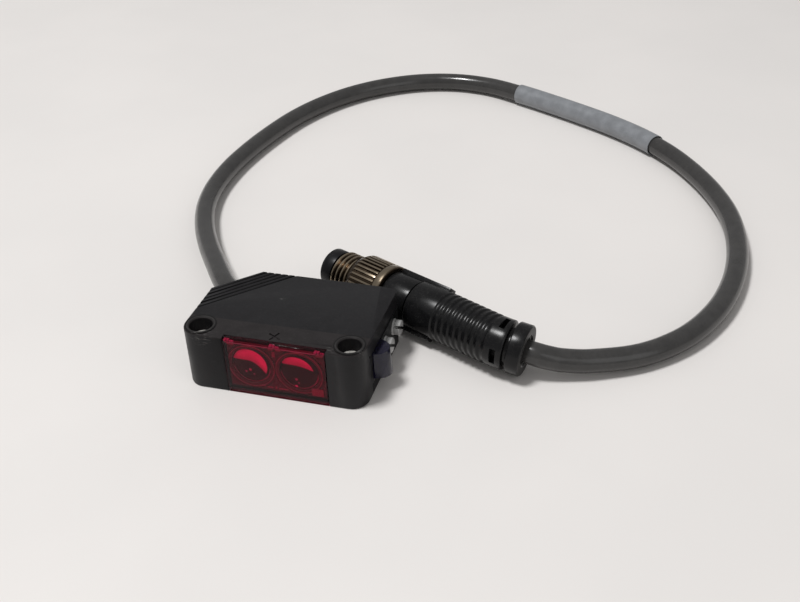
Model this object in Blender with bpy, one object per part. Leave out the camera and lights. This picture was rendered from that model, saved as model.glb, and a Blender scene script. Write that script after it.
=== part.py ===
"""Retroreflective photoelectric sensor with a pigtail cable and a round plug.

Metres, +Z up. The sensor lies on its side: the origin is the middle between its two mounting holes on
the lower side face, +X runs along the case toward the indicator end, +Y from the lens face to the back.
"""

import math

import bmesh
import bpy
from mathutils import Matrix, Vector

# Case
CASE_LENGTH = 0.0310
CASE_DEPTH = 0.0200
CASE_HEIGHT = 0.0108
HOLE_SPACING = 0.0254
HOLE_SETBACK = 0.0028
HOLE_RADIUS = 0.00195
HOLE_CHAMFER = 0.0002
BOSS_RADIUS = 0.0026
REAR_CORNER_RADIUS = 0.0008
CABLE_CHAMFER = 0.0068
EDGE_BEVEL = 0.00028
WALL = 0.0010
BAND_LEFT_DEPTH = 0.00495
BAND_RIGHT_DEPTH = 0.0052
BAND_DROP = 0.0002
END_STRIP_WIDTH = 0.0029
END_STRIP_DROP = 0.00035
END_STRIP_SETBACK = 0.0045

# Finger grooves beside the cable corner
GROOVE_COUNT = 5
GROOVE_PITCH = 0.0009
GROOVE_WIDTH = 0.00052
GROOVE_DEPTH = 0.00038
GROOVE_FIRST = 0.00075

# Clearances and small chamfers
FIT = 0.0001
CORD_FIT = 0.0003
SMALL_CHAMFER = 0.0002

# Front window and optics
WINDOW_WIDTH = 0.0173
WINDOW_OFFSET = 0.0008
WINDOW_THICKNESS = 0.0005
WINDOW_BEVEL = 0.0004
WINDOW_INNER_BEVEL = 0.00013
WINDOW_DEPTH = 0.00095
WINDOW_LEDGE = 0.0003
LENS_SPACING = 0.0082
LENS_CENTRE = 0.0005
LENS_RADIUS = 0.0033
LENS_RIM = 0.0005
LENS_BULGE = 0.0010
FRAME_THICKNESS = 0.0009
BAFFLE_GAP = 0.0004
BAFFLE_DEPTH = 0.0060
BAFFLE_WALL = 0.0010
POLARISER_RADIUS = 0.0027
POLARISER_THICKNESS = 0.0002
TUNNEL_FRONT_RADIUS = 0.0029
TUNNEL_NECK_RADIUS = 0.0024
TUNNEL_REAR_RADIUS = 0.0015
DIODE_RADIUS = 0.00145
DIODE_LENGTH = 0.0018
DIODE_NOSE = 0.0009
RECEIVER_SIDE = 0.0030
RECEIVER_THICKNESS = 0.0012
SHIELD_SIDE = 0.0044
SHIELD_WALL = 0.0002
SHIELD_WINDOW_RADIUS = 0.0012
BOARD_THICKNESS = 0.0008
BOARD_ROOM = 0.0006

# Indicator end
SLOT_LOW_Z = 0.00265
SLOT_HEIGHT = 0.0051
SLOT_END_MARGIN = 0.0009
CONTROL_MARGIN = 0.0015
BOSS_WALL = 0.0005
PANEL_PROUD = 0.0002
DOME_HALF_WIDTH = 0.00215
DOME_UPPER_REACH = 0.0024
DOME_LOWER_REACH = 0.00275
DOME_CENTRE_Y = 0.0046
DOME_SINK = 0.0002
DOME_EDGE = 0.00015
DOME_POCKET_WIDTH = 0.0028
DOME_POCKET_HEIGHT = 0.0032
DOME_POCKET_REACH = 0.0012
LAMP_RADIUS = 0.00055
LAMP_SPACING = 0.0014
SENSITIVITY_Y = 0.0085
SELECTOR_Y = 0.01365
KNOB_Z = 0.0053
KNOB_RADIUS = 0.0013
KNOB_PROUD = 0.0015
SKIRT_RADIUS = 0.00145
SKIRT_THICKNESS = 0.0006
STEM_RADIUS = 0.00085
KNOB_SLOT_WIDTH = 0.0005
KNOB_SLOT_DEPTH = 0.0009
KNOB_SLOT_ANGLE = 35.0
SEAL_RADIUS = 0.00025
SEAL_ROOM = 0.0007
TRIMMER_SIDE = 0.0034
SWITCH_SIDE = 0.0031
CONTROL_DEPTH = 0.0018
NOTCH_WIDTH = 0.0002
NOTCH_DEPTH = 0.0003
NOTCH_LOW_Z = 0.0005
NOTCH_HIGH_Z = 0.0022
NOTCH_GAP = 0.0005

# Inserts
INSERT_LENGTH = 0.0056
INSERT_BORE_RADIUS = 0.00125
INSERT_LEAD = 0.0003

# Gland and cable
CABLE_DIAMETER = 0.0040
SOCKET_RADIUS = CABLE_DIAMETER / 2 + CORD_FIT
SOCKET_DEPTH = 0.0010
GLAND_RADIUS = 0.0028
GLAND_FLANGE_RADIUS = 0.0033
GLAND_FLANGE = 0.0012
GLAND_LENGTH = 0.0050
GLAND_CHAMFER = 0.0004
CABLE_POINT_SPACING = 0.0062
CABLE_END_SPACING = 0.0020
CABLE_END_STRETCH = 0.0120
MARKER_START = 0.1533
MARKER_LENGTH = 0.0410
MARKER_POINT_SPACING = 0.0043
MARKER_THICKNESS = 0.00015
MARKER_FIT = 0.00015

# The cable's centre line from the gland round the loop to the plug
ROUTE = (
    (-0.0125, 0.0142, 0.0054),
    (-0.0153, 0.0171, 0.0054),
    (-0.0183, 0.0205, 0.0051),
    (-0.0226, 0.0266, 0.0044),
    (-0.0277, 0.0342, 0.0035),
    (-0.0322, 0.0421, 0.0028),
    (-0.0357, 0.0505, 0.0023),
    (-0.0376, 0.0594, 0.0021),
    (-0.0379, 0.0687, 0.0021),
    (-0.0370, 0.0777, 0.0021),
    (-0.0353, 0.0868, 0.0021),
    (-0.0329, 0.0956, 0.0021),
    (-0.0292, 0.1039, 0.0021),
    (-0.0240, 0.1115, 0.0021),
    (-0.0173, 0.1177, 0.0021),
    (-0.0093, 0.1221, 0.0021),
    (-0.0003, 0.1240, 0.0021),
    (0.0086, 0.1228, 0.0022),
    (0.0170, 0.1190, 0.0024),
    (0.0251, 0.1148, 0.0024),
    (0.0331, 0.1103, 0.0024),
    (0.0409, 0.1055, 0.0024),
    (0.0482, 0.1000, 0.0024),
    (0.0548, 0.0936, 0.0023),
    (0.0603, 0.0864, 0.0021),
    (0.0648, 0.0783, 0.0021),
    (0.0681, 0.0698, 0.0021),
    (0.0699, 0.0609, 0.0021),
    (0.0704, 0.0518, 0.0021),
    (0.0695, 0.0426, 0.0021),
    (0.0671, 0.0339, 0.0021),
    (0.0628, 0.0258, 0.0021),
    (0.0564, 0.0193, 0.0022),
    (0.0486, 0.0151, 0.0027),
    (0.0440, 0.0136, 0.0032),
    (0.0417, 0.01302, 0.0038),
    (0.03985, 0.01273, 0.00433),
    (0.03848, 0.01296, 0.00447),
    (0.03745, 0.01314, 0.00459),
)

# Plug, measured along its own axis from the front rim of the grip
PLUG_X = 0.0180
PLUG_Y = 0.02118
PLUG_ANGLE = -25.05
PLUG_LIFT = 0.00002
NUT_RADIUS = 0.00495
NUT_LENGTH = 0.0078
NUT_RIM = 0.0015
NUT_CHAMFER = 0.0008
NUT_CHAMFER_LENGTH = 0.0014
KNURL_COUNT = 36
KNURL_WIDTH = 0.00042
KNURL_DEPTH = 0.00025
THREAD_RADIUS = 0.0039
THREAD_LENGTH = 0.0042
CARRIER_RADIUS = 0.00305
COLLAR_RADIUS = 0.0036
COLLAR_LENGTH = 0.0025
CAVITY_RADIUS = 0.0027
CAVITY_DEPTH = 0.0050
KEY_WIDTH = 0.0008
KEY_HEIGHT = 0.0004
PIN_COUNT = 4
PIN_RADIUS = 0.0005
PIN_CIRCLE_RADIUS = 0.0015
PIN_LENGTH = 0.0036
PIN_TIP_RADIUS = 0.00035
PIN_TIP_LENGTH = 0.0004
PIN_SEAT = 0.0010
NECK_RADIUS = 0.0042
NECK_LENGTH = 0.0059
NECK_SEAT = 0.0015
GRIP_RADIUS = 0.00447
GRIP_REAR_RADIUS = 0.0043
RIB_COUNT = 9
RIB_START = 0.0058
RIB_PITCH = 0.00125
RIB_GROOVE = 0.0007
RIB_DEPTH = 0.0003
BEND_START = 0.0158
BEND_ANGLE = 16.5
BEND_DROOP = 22.0
BEND_LENGTH = 0.0035
RELIEF_START = 0.0170
RELIEF_LENGTH = 0.0021
RELIEF_GROOVE = 0.00065
RELIEF_CORE_RADIUS = 0.0032
POCKET_SETBACK = 0.0006
POCKET_LENGTH = 0.0008
POCKET_WIDTH = 0.0028
POCKET_DEPTH = 0.0013
FLANGE_RADIUS = 0.0044
FLANGE_LENGTH = 0.0024
BAR_WIDTH = 0.0019
BAR_RADIUS = 0.0049
BAR_LENGTH = 0.0107
BAR_BEVEL = 0.00015

# Facets
ARC_STEPS = 8
HOLE_STEPS = 28
TURN_STEPS = 28
NUT_STEPS = 48
SHARP_ANGLE = 32.0

# Derived places
HALF_LENGTH = CASE_LENGTH / 2
FRONT_Y = -HOLE_SETBACK
BACK_Y = CASE_DEPTH - HOLE_SETBACK
HOLE_X = HOLE_SPACING / 2
MID_Z = CASE_HEIGHT / 2
END_X = HALF_LENGTH
WINDOW_LEFT = WINDOW_OFFSET - WINDOW_WIDTH / 2
WINDOW_RIGHT = WINDOW_OFFSET + WINDOW_WIDTH / 2
RECESS_BACK_Y = FRONT_Y + WINDOW_DEPTH + FIT
CHAMBER_LEFT = WINDOW_LEFT + WINDOW_LEDGE
CHAMBER_RIGHT = WINDOW_RIGHT - WINDOW_LEDGE
FRAME_FRONT_Y = FRONT_Y + WINDOW_THICKNESS + FIT
FRAME_BACK_Y = FRAME_FRONT_Y + FRAME_THICKNESS
BAFFLE_FRONT_Y = FRAME_BACK_Y + BAFFLE_GAP
BAFFLE_BACK_Y = BAFFLE_FRONT_Y + BAFFLE_DEPTH
DIODE_BACK_Y = BAFFLE_BACK_Y + FIT + DIODE_LENGTH
BOARD_FRONT_Y = DIODE_BACK_Y + FIT
BOARD_BACK_Y = BOARD_FRONT_Y + BOARD_THICKNESS
RECEIVER_X = LENS_CENTRE - LENS_SPACING / 2
EMITTER_X = LENS_CENTRE + LENS_SPACING / 2
CHAMBER_BACK_Y = BOARD_BACK_Y + BOARD_ROOM
PANEL_FRONT_X = END_X + PANEL_PROUD
PANEL_BACK_X = END_X - WALL
SKIRT_BACK_X = PANEL_FRONT_X - SKIRT_THICKNESS + FIT
CONTROL_FRONT_X = PANEL_BACK_X - SEAL_ROOM
CONTROL_BACK_X = CONTROL_FRONT_X - CONTROL_DEPTH
CONTROL_BOARD_X = CONTROL_BACK_X - FIT - BOARD_THICKNESS
SLOT_HIGH_Z = SLOT_LOW_Z + SLOT_HEIGHT
SLOT_MID_Z = SLOT_LOW_Z + SLOT_HEIGHT / 2
SLOT_START_Y = DOME_CENTRE_Y - DOME_HALF_WIDTH - FIT
SLOT_END_Y = BACK_Y - SLOT_END_MARGIN
CONTROL_LOW_Z = SLOT_LOW_Z - CONTROL_MARGIN
CONTROL_HIGH_Z = SLOT_HIGH_Z + CONTROL_MARGIN
CONTROL_START_Y = BOSS_RADIUS + BOSS_WALL
CONTROL_END_Y = SLOT_END_Y - BOSS_WALL
PANEL_START_Y = DOME_CENTRE_Y + DOME_HALF_WIDTH + FIT
NUT_REAR_S = -NECK_LENGTH - FIT
NUT_FRONT_S = NUT_REAR_S - NUT_LENGTH
THREAD_FRONT_S = NUT_FRONT_S - THREAD_LENGTH
COLLAR_REAR_S = THREAD_FRONT_S - FIT
COLLAR_FRONT_S = COLLAR_REAR_S - COLLAR_LENGTH
CAVITY_FLOOR_S = COLLAR_FRONT_S + CAVITY_DEPTH
RELIEF_END_S = RELIEF_START + RELIEF_LENGTH
FLANGE_START_S = RELIEF_END_S + RELIEF_GROOVE
GRIP_END_S = FLANGE_START_S + FLANGE_LENGTH


# Shared makers


def clear_scene():
    for old in list(bpy.data.objects):
        bpy.data.objects.remove(old, do_unlink=True)


def material(name, colour, roughness, metallic=0.0, alpha=1.0):
    made = bpy.data.materials.new(name)
    made.use_nodes = True
    shader = made.node_tree.nodes["Principled BSDF"]
    shader.inputs["Base Color"].default_value = (*colour, 1.0)
    shader.inputs["Roughness"].default_value = roughness
    shader.inputs["Metallic"].default_value = metallic
    shader.inputs["Alpha"].default_value = alpha
    return made


def make_object(name, shape, surface=None, smooth=False, frame=None):
    """Turns a bmesh into an object, with its normals facing out."""
    bmesh.ops.recalc_face_normals(shape, faces=shape.faces)
    mesh = bpy.data.meshes.new(name)
    shape.to_mesh(mesh)
    shape.free()
    if surface:
        mesh.materials.append(surface)
    if smooth:
        mesh.shade_smooth()
        mesh.set_sharp_from_angle(angle=math.radians(SHARP_ANGLE))
    made = bpy.data.objects.new(name, mesh)
    bpy.context.scene.collection.objects.link(made)
    if frame:
        made.matrix_world = frame
    return made


def arc(centre, radius, start, end, steps=ARC_STEPS, height=None):
    """Points of an arc, in degrees, both ends included. With a height it is part of an ellipse."""
    points = []
    for step in range(steps + 1):
        turn = math.radians(start + (end - start) * step / steps)
        rise = (height or radius) * math.sin(turn)
        points.append((centre[0] + radius * math.cos(turn), centre[1] + rise))
    return points


def prism(name, outline, axis, low, high, surface=None, smooth=False, far_outline=None):
    """Joins an outline at two levels along X, given as (y, z), or along Z, given as (x, y)."""
    shape = bmesh.new()
    ends = []
    for level, points in ((low, outline), (high, far_outline or outline)):
        if axis == "X":
            ends.append([shape.verts.new((level, a, b)) for a, b in points])
        else:
            ends.append([shape.verts.new((a, b, level)) for a, b in points])
    first, second = ends
    shape.faces.new(first)
    shape.faces.new(second)
    for index in range(len(first)):
        after = (index + 1) % len(first)
        shape.faces.new((first[index], first[after], second[after], second[index]))
    return make_object(name, shape, surface, smooth)


def box(name, low, high, surface=None, frame=None):
    """A box between two opposite corners."""
    shape = bmesh.new()
    size = Vector(high) - Vector(low)
    centre = (Vector(high) + Vector(low)) / 2
    place = Matrix.Translation(centre) @ Matrix.Diagonal((*size, 1.0))
    bmesh.ops.create_cube(shape, size=1.0, matrix=place)
    return make_object(name, shape, surface, frame=frame)


def turned(name, profile, surface=None, frame=None, steps=TURN_STEPS, ring=False):
    """Revolves a profile of (along, radius) points about local X. A ring's profile closes on itself."""
    shape = bmesh.new()
    loops = []
    for along, radius in profile:
        if radius == 0:
            loops.append([shape.verts.new((along, 0, 0))])
            continue
        loop = []
        for step in range(steps):
            turn = 2 * math.pi * step / steps
            loop.append(shape.verts.new((along, radius * math.cos(turn), radius * math.sin(turn))))
        loops.append(loop)
    pairs = list(zip(loops, loops[1:]))
    if ring:
        pairs.append((loops[-1], loops[0]))
    for first, second in pairs:
        for step in range(steps):
            after = (step + 1) % steps
            corners = [first[step % len(first)], first[after % len(first)]]
            corners += [second[after % len(second)], second[step % len(second)]]
            shape.faces.new(dict.fromkeys(corners))
    return make_object(name, shape, surface, smooth=True, frame=frame)


def along_axis(origin, direction):
    """A frame whose local X points along a direction."""
    turn = Vector(direction).to_track_quat("X", "Z").to_matrix().to_4x4()
    return Matrix.Translation(Vector(origin)) @ turn


def combine(target, tool, operation):
    """Adds or removes a tool's shape with a Boolean modifier, and hides the tool from the render."""
    step = target.modifiers.new(operation.lower(), "BOOLEAN")
    step.operation = operation
    step.solver = "EXACT"
    step.object = tool
    tool.hide_render = True
    tool.display_type = "WIRE"


def cut(target, tool):
    combine(target, tool, "DIFFERENCE")


def add(target, tool):
    combine(target, tool, "UNION")


def bevel_edges(target, width, segments, angle):
    step = target.modifiers.new("bevel", "BEVEL")
    step.width = width
    step.segments = segments
    step.limit_method = "ANGLE"
    step.angle_limit = math.radians(angle)


def bake_modifiers(target):
    """Keeps the evaluated mesh as the object's own, so that its points can be moved."""
    view = bpy.context.evaluated_depsgraph_get()
    mesh = bpy.data.meshes.new_from_object(target.evaluated_get(view))
    target.modifiers.clear()
    target.data = mesh


# Case


def case_outline():
    """The case seen from above: round lens-side corners about the holes and a cut-off cable corner."""
    points = arc((-HOLE_X, 0), HOLE_SETBACK, 180, 270)
    points += arc((HOLE_X, 0), HOLE_SETBACK, 270, 360)
    rear = REAR_CORNER_RADIUS
    points += arc((HALF_LENGTH - rear, BACK_Y - rear), rear, 0, 90, 4)
    points.append((CABLE_CHAMFER - HALF_LENGTH, BACK_Y))
    points.append((-HALF_LENGTH, BACK_Y - CABLE_CHAMFER))
    return points


def slope_cutter(name, first, second, low_point):
    """A slab whose lower side holds a line on the upper face and one lower point of the case's edge."""
    first = Vector((*first, CASE_HEIGHT))
    second = Vector((*second, CASE_HEIGHT))
    low_point = Vector(low_point)
    normal = (second - first).cross(low_point - first).normalized()
    if normal.z < 0:
        normal.negate()
    along = (second - first).normalized()
    across = normal.cross(along)
    frame = Matrix((along, across, normal)).transposed().to_4x4()
    frame.translation = (first + second) / 2
    reach = CASE_LENGTH
    return box(name, (-reach, -reach, 0), (reach, reach, WALL), frame=frame)


def cut_upper_slopes(case):
    """The upper face falls a little toward the lens edge and along a wedge at the indicator end."""
    left = (-HALF_LENGTH, FRONT_Y + BAND_LEFT_DEPTH)
    right = (HALF_LENGTH, FRONT_Y + BAND_RIGHT_DEPTH)
    cut(case, slope_cutter("lens_band_cut", left, right, (0, FRONT_Y, CASE_HEIGHT - BAND_DROP)))
    rear = (END_X - END_STRIP_WIDTH, BACK_Y)
    front = (END_X, FRONT_Y + END_STRIP_SETBACK)
    cut(case, slope_cutter("end_strip_cut", rear, front, (END_X, BACK_Y, CASE_HEIGHT - END_STRIP_DROP)))


def cut_finger_grooves(case):
    """Parallel grooves beside the cable corner, on both sides, open at the end and at the back."""
    profile = [
        (-GROOVE_WIDTH / 2, FIT),
        (-GROOVE_WIDTH / 4, -GROOVE_DEPTH),
        (GROOVE_WIDTH / 4, -GROOVE_DEPTH),
        (GROOVE_WIDTH / 2, FIT),
    ]
    middle = Vector((CABLE_CHAMFER / 2 - HALF_LENGTH, BACK_Y - CABLE_CHAMFER / 2, 0))
    inward = Vector((1, -1, 0)).normalized()
    for level, tilt in ((CASE_HEIGHT, 0), (0, math.pi)):
        for number in range(GROOVE_COUNT):
            place = middle + inward * (GROOVE_FIRST + number * GROOVE_PITCH)
            frame = Matrix.Translation((place.x, place.y, level))
            frame @= Matrix.Rotation(math.radians(45), 4, "Z") @ Matrix.Rotation(tilt, 4, "X")
            tool = prism(f"groove_cut_{number}", profile, "X", -CASE_LENGTH, CASE_LENGTH)
            tool.matrix_world = frame
            cut(case, tool)


def cut_mounting_holes(case):
    """Bosses stand at full height round the holes, whose mouths are chamfered."""
    mouth = HOLE_CHAMFER + FIT
    for side in (-1, 1):
        frame = along_axis((side * HOLE_X, 0, 0), (0, 0, 1))
        boss = [(0, 0), (0, BOSS_RADIUS), (CASE_HEIGHT, BOSS_RADIUS), (CASE_HEIGHT, 0)]
        add(case, turned("boss", boss, frame=frame, steps=HOLE_STEPS))
        hole = [
            (-FIT, 0),
            (-FIT, HOLE_RADIUS + mouth),
            (HOLE_CHAMFER, HOLE_RADIUS),
            (CASE_HEIGHT - HOLE_CHAMFER, HOLE_RADIUS),
            (CASE_HEIGHT + FIT, HOLE_RADIUS + mouth),
            (CASE_HEIGHT + FIT, 0),
        ]
        cut(case, turned("hole_cut", hole, frame=frame, steps=HOLE_STEPS))


def cut_front_chamber(case):
    """The window recess, open at both long edges, and the chamber for the optics behind it."""
    recess_low = (WINDOW_LEFT - FIT, FRONT_Y - WALL, -WALL)
    recess_high = (WINDOW_RIGHT + FIT, RECESS_BACK_Y, CASE_HEIGHT + WALL)
    cut(case, box("recess_cut", recess_low, recess_high))
    chamber_low = (CHAMBER_LEFT, RECESS_BACK_Y - WALL, WALL)
    chamber_high = (CHAMBER_RIGHT, CHAMBER_BACK_Y, CASE_HEIGHT - WALL)
    cut(case, box("chamber_cut", chamber_low, chamber_high))


def cut_indicator_end(case):
    """The chamber behind the knobs, the slot for the panel, and the small upright notch beside it."""
    low = (CHAMBER_RIGHT - WALL, CONTROL_START_Y, CONTROL_LOW_Z)
    cut(case, box("control_cut", low, (END_X - WALL, CONTROL_END_Y, CONTROL_HIGH_Z)))
    slot_low = (END_X - WALL - FIT, SLOT_START_Y, SLOT_LOW_Z)
    cut(case, box("slot_cut", slot_low, (END_X + WALL, SLOT_END_Y, SLOT_HIGH_Z)))
    notch_y = SLOT_START_Y - NOTCH_GAP
    notch_low = (END_X - NOTCH_DEPTH, notch_y - NOTCH_WIDTH / 2, NOTCH_LOW_Z)
    notch_high = (END_X + FIT, notch_y + NOTCH_WIDTH / 2, NOTCH_HIGH_Z)
    cut(case, box("notch_cut", notch_low, notch_high))


def cable_axis():
    """Origin in the middle of the cable corner's face, local X out of the case."""
    middle = (CABLE_CHAMFER / 2 - HALF_LENGTH, BACK_Y - CABLE_CHAMFER / 2, MID_Z)
    return along_axis(middle, (-1, 1, 0))


def make_case():
    surface = material("case", (0.028, 0.028, 0.030), 0.5)
    case = prism("case", case_outline(), "Z", 0, CASE_HEIGHT, surface)
    bevel_edges(case, EDGE_BEVEL, 2, 50)
    cut_upper_slopes(case)
    cut_mounting_holes(case)
    cut_front_chamber(case)
    cut_indicator_end(case)
    bore = GLAND_RADIUS + FIT
    reach = GLAND_LENGTH + 2 * WALL
    bore_profile = [(-reach, 0), (-reach, bore), (WALL, bore), (WALL, 0)]
    cut(case, turned("cable_bore_cut", bore_profile, frame=cable_axis()))
    cut_finger_grooves(case)


# Window and optics


def make_front_window():
    """A tray-shaped pane: a thin front with bevelled long edges and two lips that reach back."""
    surface = material("front_window", (0.30, 0.004, 0.010), 0.08, alpha=0.55)
    top = CASE_HEIGHT - BAND_DROP
    skin = WINDOW_THICKNESS
    inner = WINDOW_INNER_BEVEL
    back = FRONT_Y + WINDOW_DEPTH
    outline = [
        (FRONT_Y, WINDOW_BEVEL),
        (FRONT_Y, top - WINDOW_BEVEL),
        (FRONT_Y + WINDOW_BEVEL, top),
        (back, top),
        (back, top - skin),
        (FRONT_Y + skin + inner, top - skin),
        (FRONT_Y + skin, top - skin - inner),
        (FRONT_Y + skin, skin + inner),
        (FRONT_Y + skin + inner, skin),
        (back, skin),
        (back, 0),
        (FRONT_Y + WINDOW_BEVEL, 0),
    ]
    prism("front_window", outline, "X", WINDOW_LEFT, WINDOW_RIGHT, surface)


def make_lens_frame():
    surface = material("lens_frame", (0.018, 0.010, 0.010), 0.45)
    low = (CHAMBER_LEFT + FIT, FRAME_FRONT_Y, WALL + FIT)
    high = (CHAMBER_RIGHT - FIT, FRAME_BACK_Y, CASE_HEIGHT - WALL - FIT)
    frame = box("lens_frame", low, high, surface)
    seat = LENS_RADIUS + FIT
    reach = FRAME_THICKNESS + WALL
    for x in (RECEIVER_X, EMITTER_X):
        profile = [(-reach, 0), (-reach, seat), (reach, seat), (reach, 0)]
        tool = turned("seat_cut", profile, frame=along_axis((x, FRAME_FRONT_Y, MID_Z), (0, 1, 0)))
        cut(frame, tool)


def make_lens(name, x):
    """Flat in front, convex toward the light tunnel."""
    surface = material(name, (0.35, 0.01, 0.02), 0.05, alpha=0.5)
    profile = [(0, 0), (0, LENS_RADIUS), (LENS_RIM, LENS_RADIUS)]
    steps = 5
    for step in range(1, steps):
        radius = LENS_RADIUS * (1 - step / steps)
        rise = LENS_BULGE * (1 - (radius / LENS_RADIUS) ** 2)
        profile.append((LENS_RIM + rise, radius))
    profile.append((LENS_RIM + LENS_BULGE, 0))
    turned(name, profile, surface, along_axis((x, FRAME_FRONT_Y + FIT, MID_Z), (0, 1, 0)))


def polariser_front_y():
    return FRAME_FRONT_Y + LENS_RIM + LENS_BULGE + 2 * FIT


def make_polariser(name, x):
    surface = material(name, (0.10, 0.02, 0.03), 0.2, alpha=0.6)
    radius = POLARISER_RADIUS
    profile = [(0, 0), (0, radius), (POLARISER_THICKNESS, radius), (POLARISER_THICKNESS, 0)]
    turned(name, profile, surface, along_axis((x, polariser_front_y(), MID_Z), (0, 1, 0)))


def make_light_baffle():
    """One block with two light tunnels, each with a step that the polariser rests on."""
    surface = material("light_baffle", (0.015, 0.015, 0.016), 0.6)
    low = (CHAMBER_LEFT + FIT, BAFFLE_FRONT_Y, WALL + FIT)
    high = (CHAMBER_RIGHT - FIT, BAFFLE_BACK_Y, CASE_HEIGHT - WALL - FIT)
    baffle = box("light_baffle", low, high, surface)
    step_y = polariser_front_y() + POLARISER_THICKNESS + FIT - BAFFLE_FRONT_Y
    for x in (RECEIVER_X, EMITTER_X):
        profile = [
            (-WALL, 0),
            (-WALL, TUNNEL_FRONT_RADIUS),
            (step_y, TUNNEL_FRONT_RADIUS),
            (step_y, TUNNEL_NECK_RADIUS),
            (BAFFLE_DEPTH - BAFFLE_WALL, TUNNEL_REAR_RADIUS),
            (BAFFLE_DEPTH + WALL, TUNNEL_REAR_RADIUS),
            (BAFFLE_DEPTH + WALL, 0),
        ]
        cut(baffle, turned("tunnel_cut", profile, frame=along_axis((x, BAFFLE_FRONT_Y, MID_Z), (0, 1, 0))))


def make_emitter_diode():
    surface = material("emitter_diode", (0.55, 0.52, 0.50), 0.2)
    start = BAFFLE_BACK_Y + FIT
    nose = TUNNEL_REAR_RADIUS - 3 * FIT
    profile = [(-DIODE_NOSE, 0)]
    for step in range(1, 4):
        turn = math.radians(90 * step / 4)
        profile.append((-DIODE_NOSE * math.cos(turn), nose * math.sin(turn)))
    profile += [(0, nose), (0, DIODE_RADIUS), (DIODE_LENGTH, DIODE_RADIUS), (DIODE_LENGTH, 0)]
    turned("emitter_diode", profile, surface, along_axis((EMITTER_X, start, MID_Z), (0, 1, 0)))


def make_receiver():
    """The receiving diode on the board and the sheet shield over it."""
    chip = material("receiver_diode", (0.03, 0.03, 0.04), 0.25)
    half = RECEIVER_SIDE / 2
    low = (RECEIVER_X - half, DIODE_BACK_Y - RECEIVER_THICKNESS, MID_Z - half)
    box("receiver_diode", low, (RECEIVER_X + half, DIODE_BACK_Y, MID_Z + half), chip)
    sheet = material("receiver_shield", (0.62, 0.60, 0.55), 0.3, 1.0)
    half = SHIELD_SIDE / 2
    front = BAFFLE_BACK_Y + FIT
    shield_low = (RECEIVER_X - half, front, MID_Z - half)
    shield = box("receiver_shield", shield_low, (RECEIVER_X + half, DIODE_BACK_Y, MID_Z + half), sheet)
    inner = half - SHIELD_WALL
    inner_low = (RECEIVER_X - inner, front + SHIELD_WALL, MID_Z - inner)
    cut(shield, box("shield_cut", inner_low, (RECEIVER_X + inner, DIODE_BACK_Y + WALL, MID_Z + inner)))
    hole = SHIELD_WINDOW_RADIUS
    profile = [(-WALL, 0), (-WALL, hole), (2 * SHIELD_WALL, hole), (2 * SHIELD_WALL, 0)]
    cut(shield, turned("shield_window_cut", profile, frame=along_axis((RECEIVER_X, front, MID_Z), (0, 1, 0))))


def make_boards():
    surface = material("main_board", (0.02, 0.12, 0.05), 0.45)
    low = (CHAMBER_LEFT + 2 * FIT, BOARD_FRONT_Y, CONTROL_LOW_Z + FIT)
    box("main_board", low, (CONTROL_BOARD_X - FIT, BOARD_BACK_Y, CONTROL_HIGH_Z - FIT), surface)
    surface = material("adjuster_board", (0.02, 0.12, 0.05), 0.45)
    low = (CONTROL_BOARD_X, CONTROL_START_Y + 2 * FIT, CONTROL_LOW_Z + FIT)
    high = (CONTROL_BACK_X - FIT, CONTROL_END_Y - 2 * FIT, CONTROL_HIGH_Z - FIT)
    box("adjuster_board", low, high, surface)


# Indicator end


def make_indicator_window():
    """A half-oval dome that leans out toward its lower side, on a base in the slot, hollow for the lamps."""
    surface = material("indicator_window", (0.05, 0.045, 0.10), 0.12, alpha=0.7)
    low_z = SLOT_LOW_Z + FIT
    high_z = SLOT_HIGH_Z - FIT
    centre = (END_X - DOME_SINK, DOME_CENTRE_Y)
    outlines = []
    for reach in (DOME_LOWER_REACH, DOME_UPPER_REACH):
        outline = arc(centre, reach, -90, 90, 16, DOME_HALF_WIDTH)
        outline.append((PANEL_BACK_X, DOME_CENTRE_Y + DOME_HALF_WIDTH))
        outline.append((PANEL_BACK_X, DOME_CENTRE_Y - DOME_HALF_WIDTH))
        outlines.append(outline)
    dome = prism("indicator_window", outlines[0], "Z", low_z, high_z, surface, True, outlines[1])
    bevel_edges(dome, DOME_EDGE, 2, 60)
    half_y = DOME_POCKET_WIDTH / 2
    half_z = DOME_POCKET_HEIGHT / 2
    pocket_low = (PANEL_BACK_X - WALL, DOME_CENTRE_Y - half_y, SLOT_MID_Z - half_z)
    pocket_high = (END_X + DOME_POCKET_REACH, DOME_CENTRE_Y + half_y, SLOT_MID_Z + half_z)
    cut(dome, box("pocket_cut", pocket_low, pocket_high))


def make_lamp(name, side, colour):
    surface = material(name, colour, 0.2)
    start = CONTROL_BACK_X
    top = END_X + DOME_POCKET_REACH - 2 * FIT - start
    profile = [(0, 0), (0, LAMP_RADIUS), (top - LAMP_RADIUS, LAMP_RADIUS)]
    for step in range(1, 4):
        turn = math.radians(90 * step / 4)
        profile.append((top - LAMP_RADIUS * (1 - math.sin(turn)), LAMP_RADIUS * math.cos(turn)))
    profile.append((top, 0))
    place = (start, DOME_CENTRE_Y, SLOT_MID_Z + side * LAMP_SPACING / 2)
    turned(name, profile, surface, along_axis(place, (1, 0, 0)), steps=16)


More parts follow.
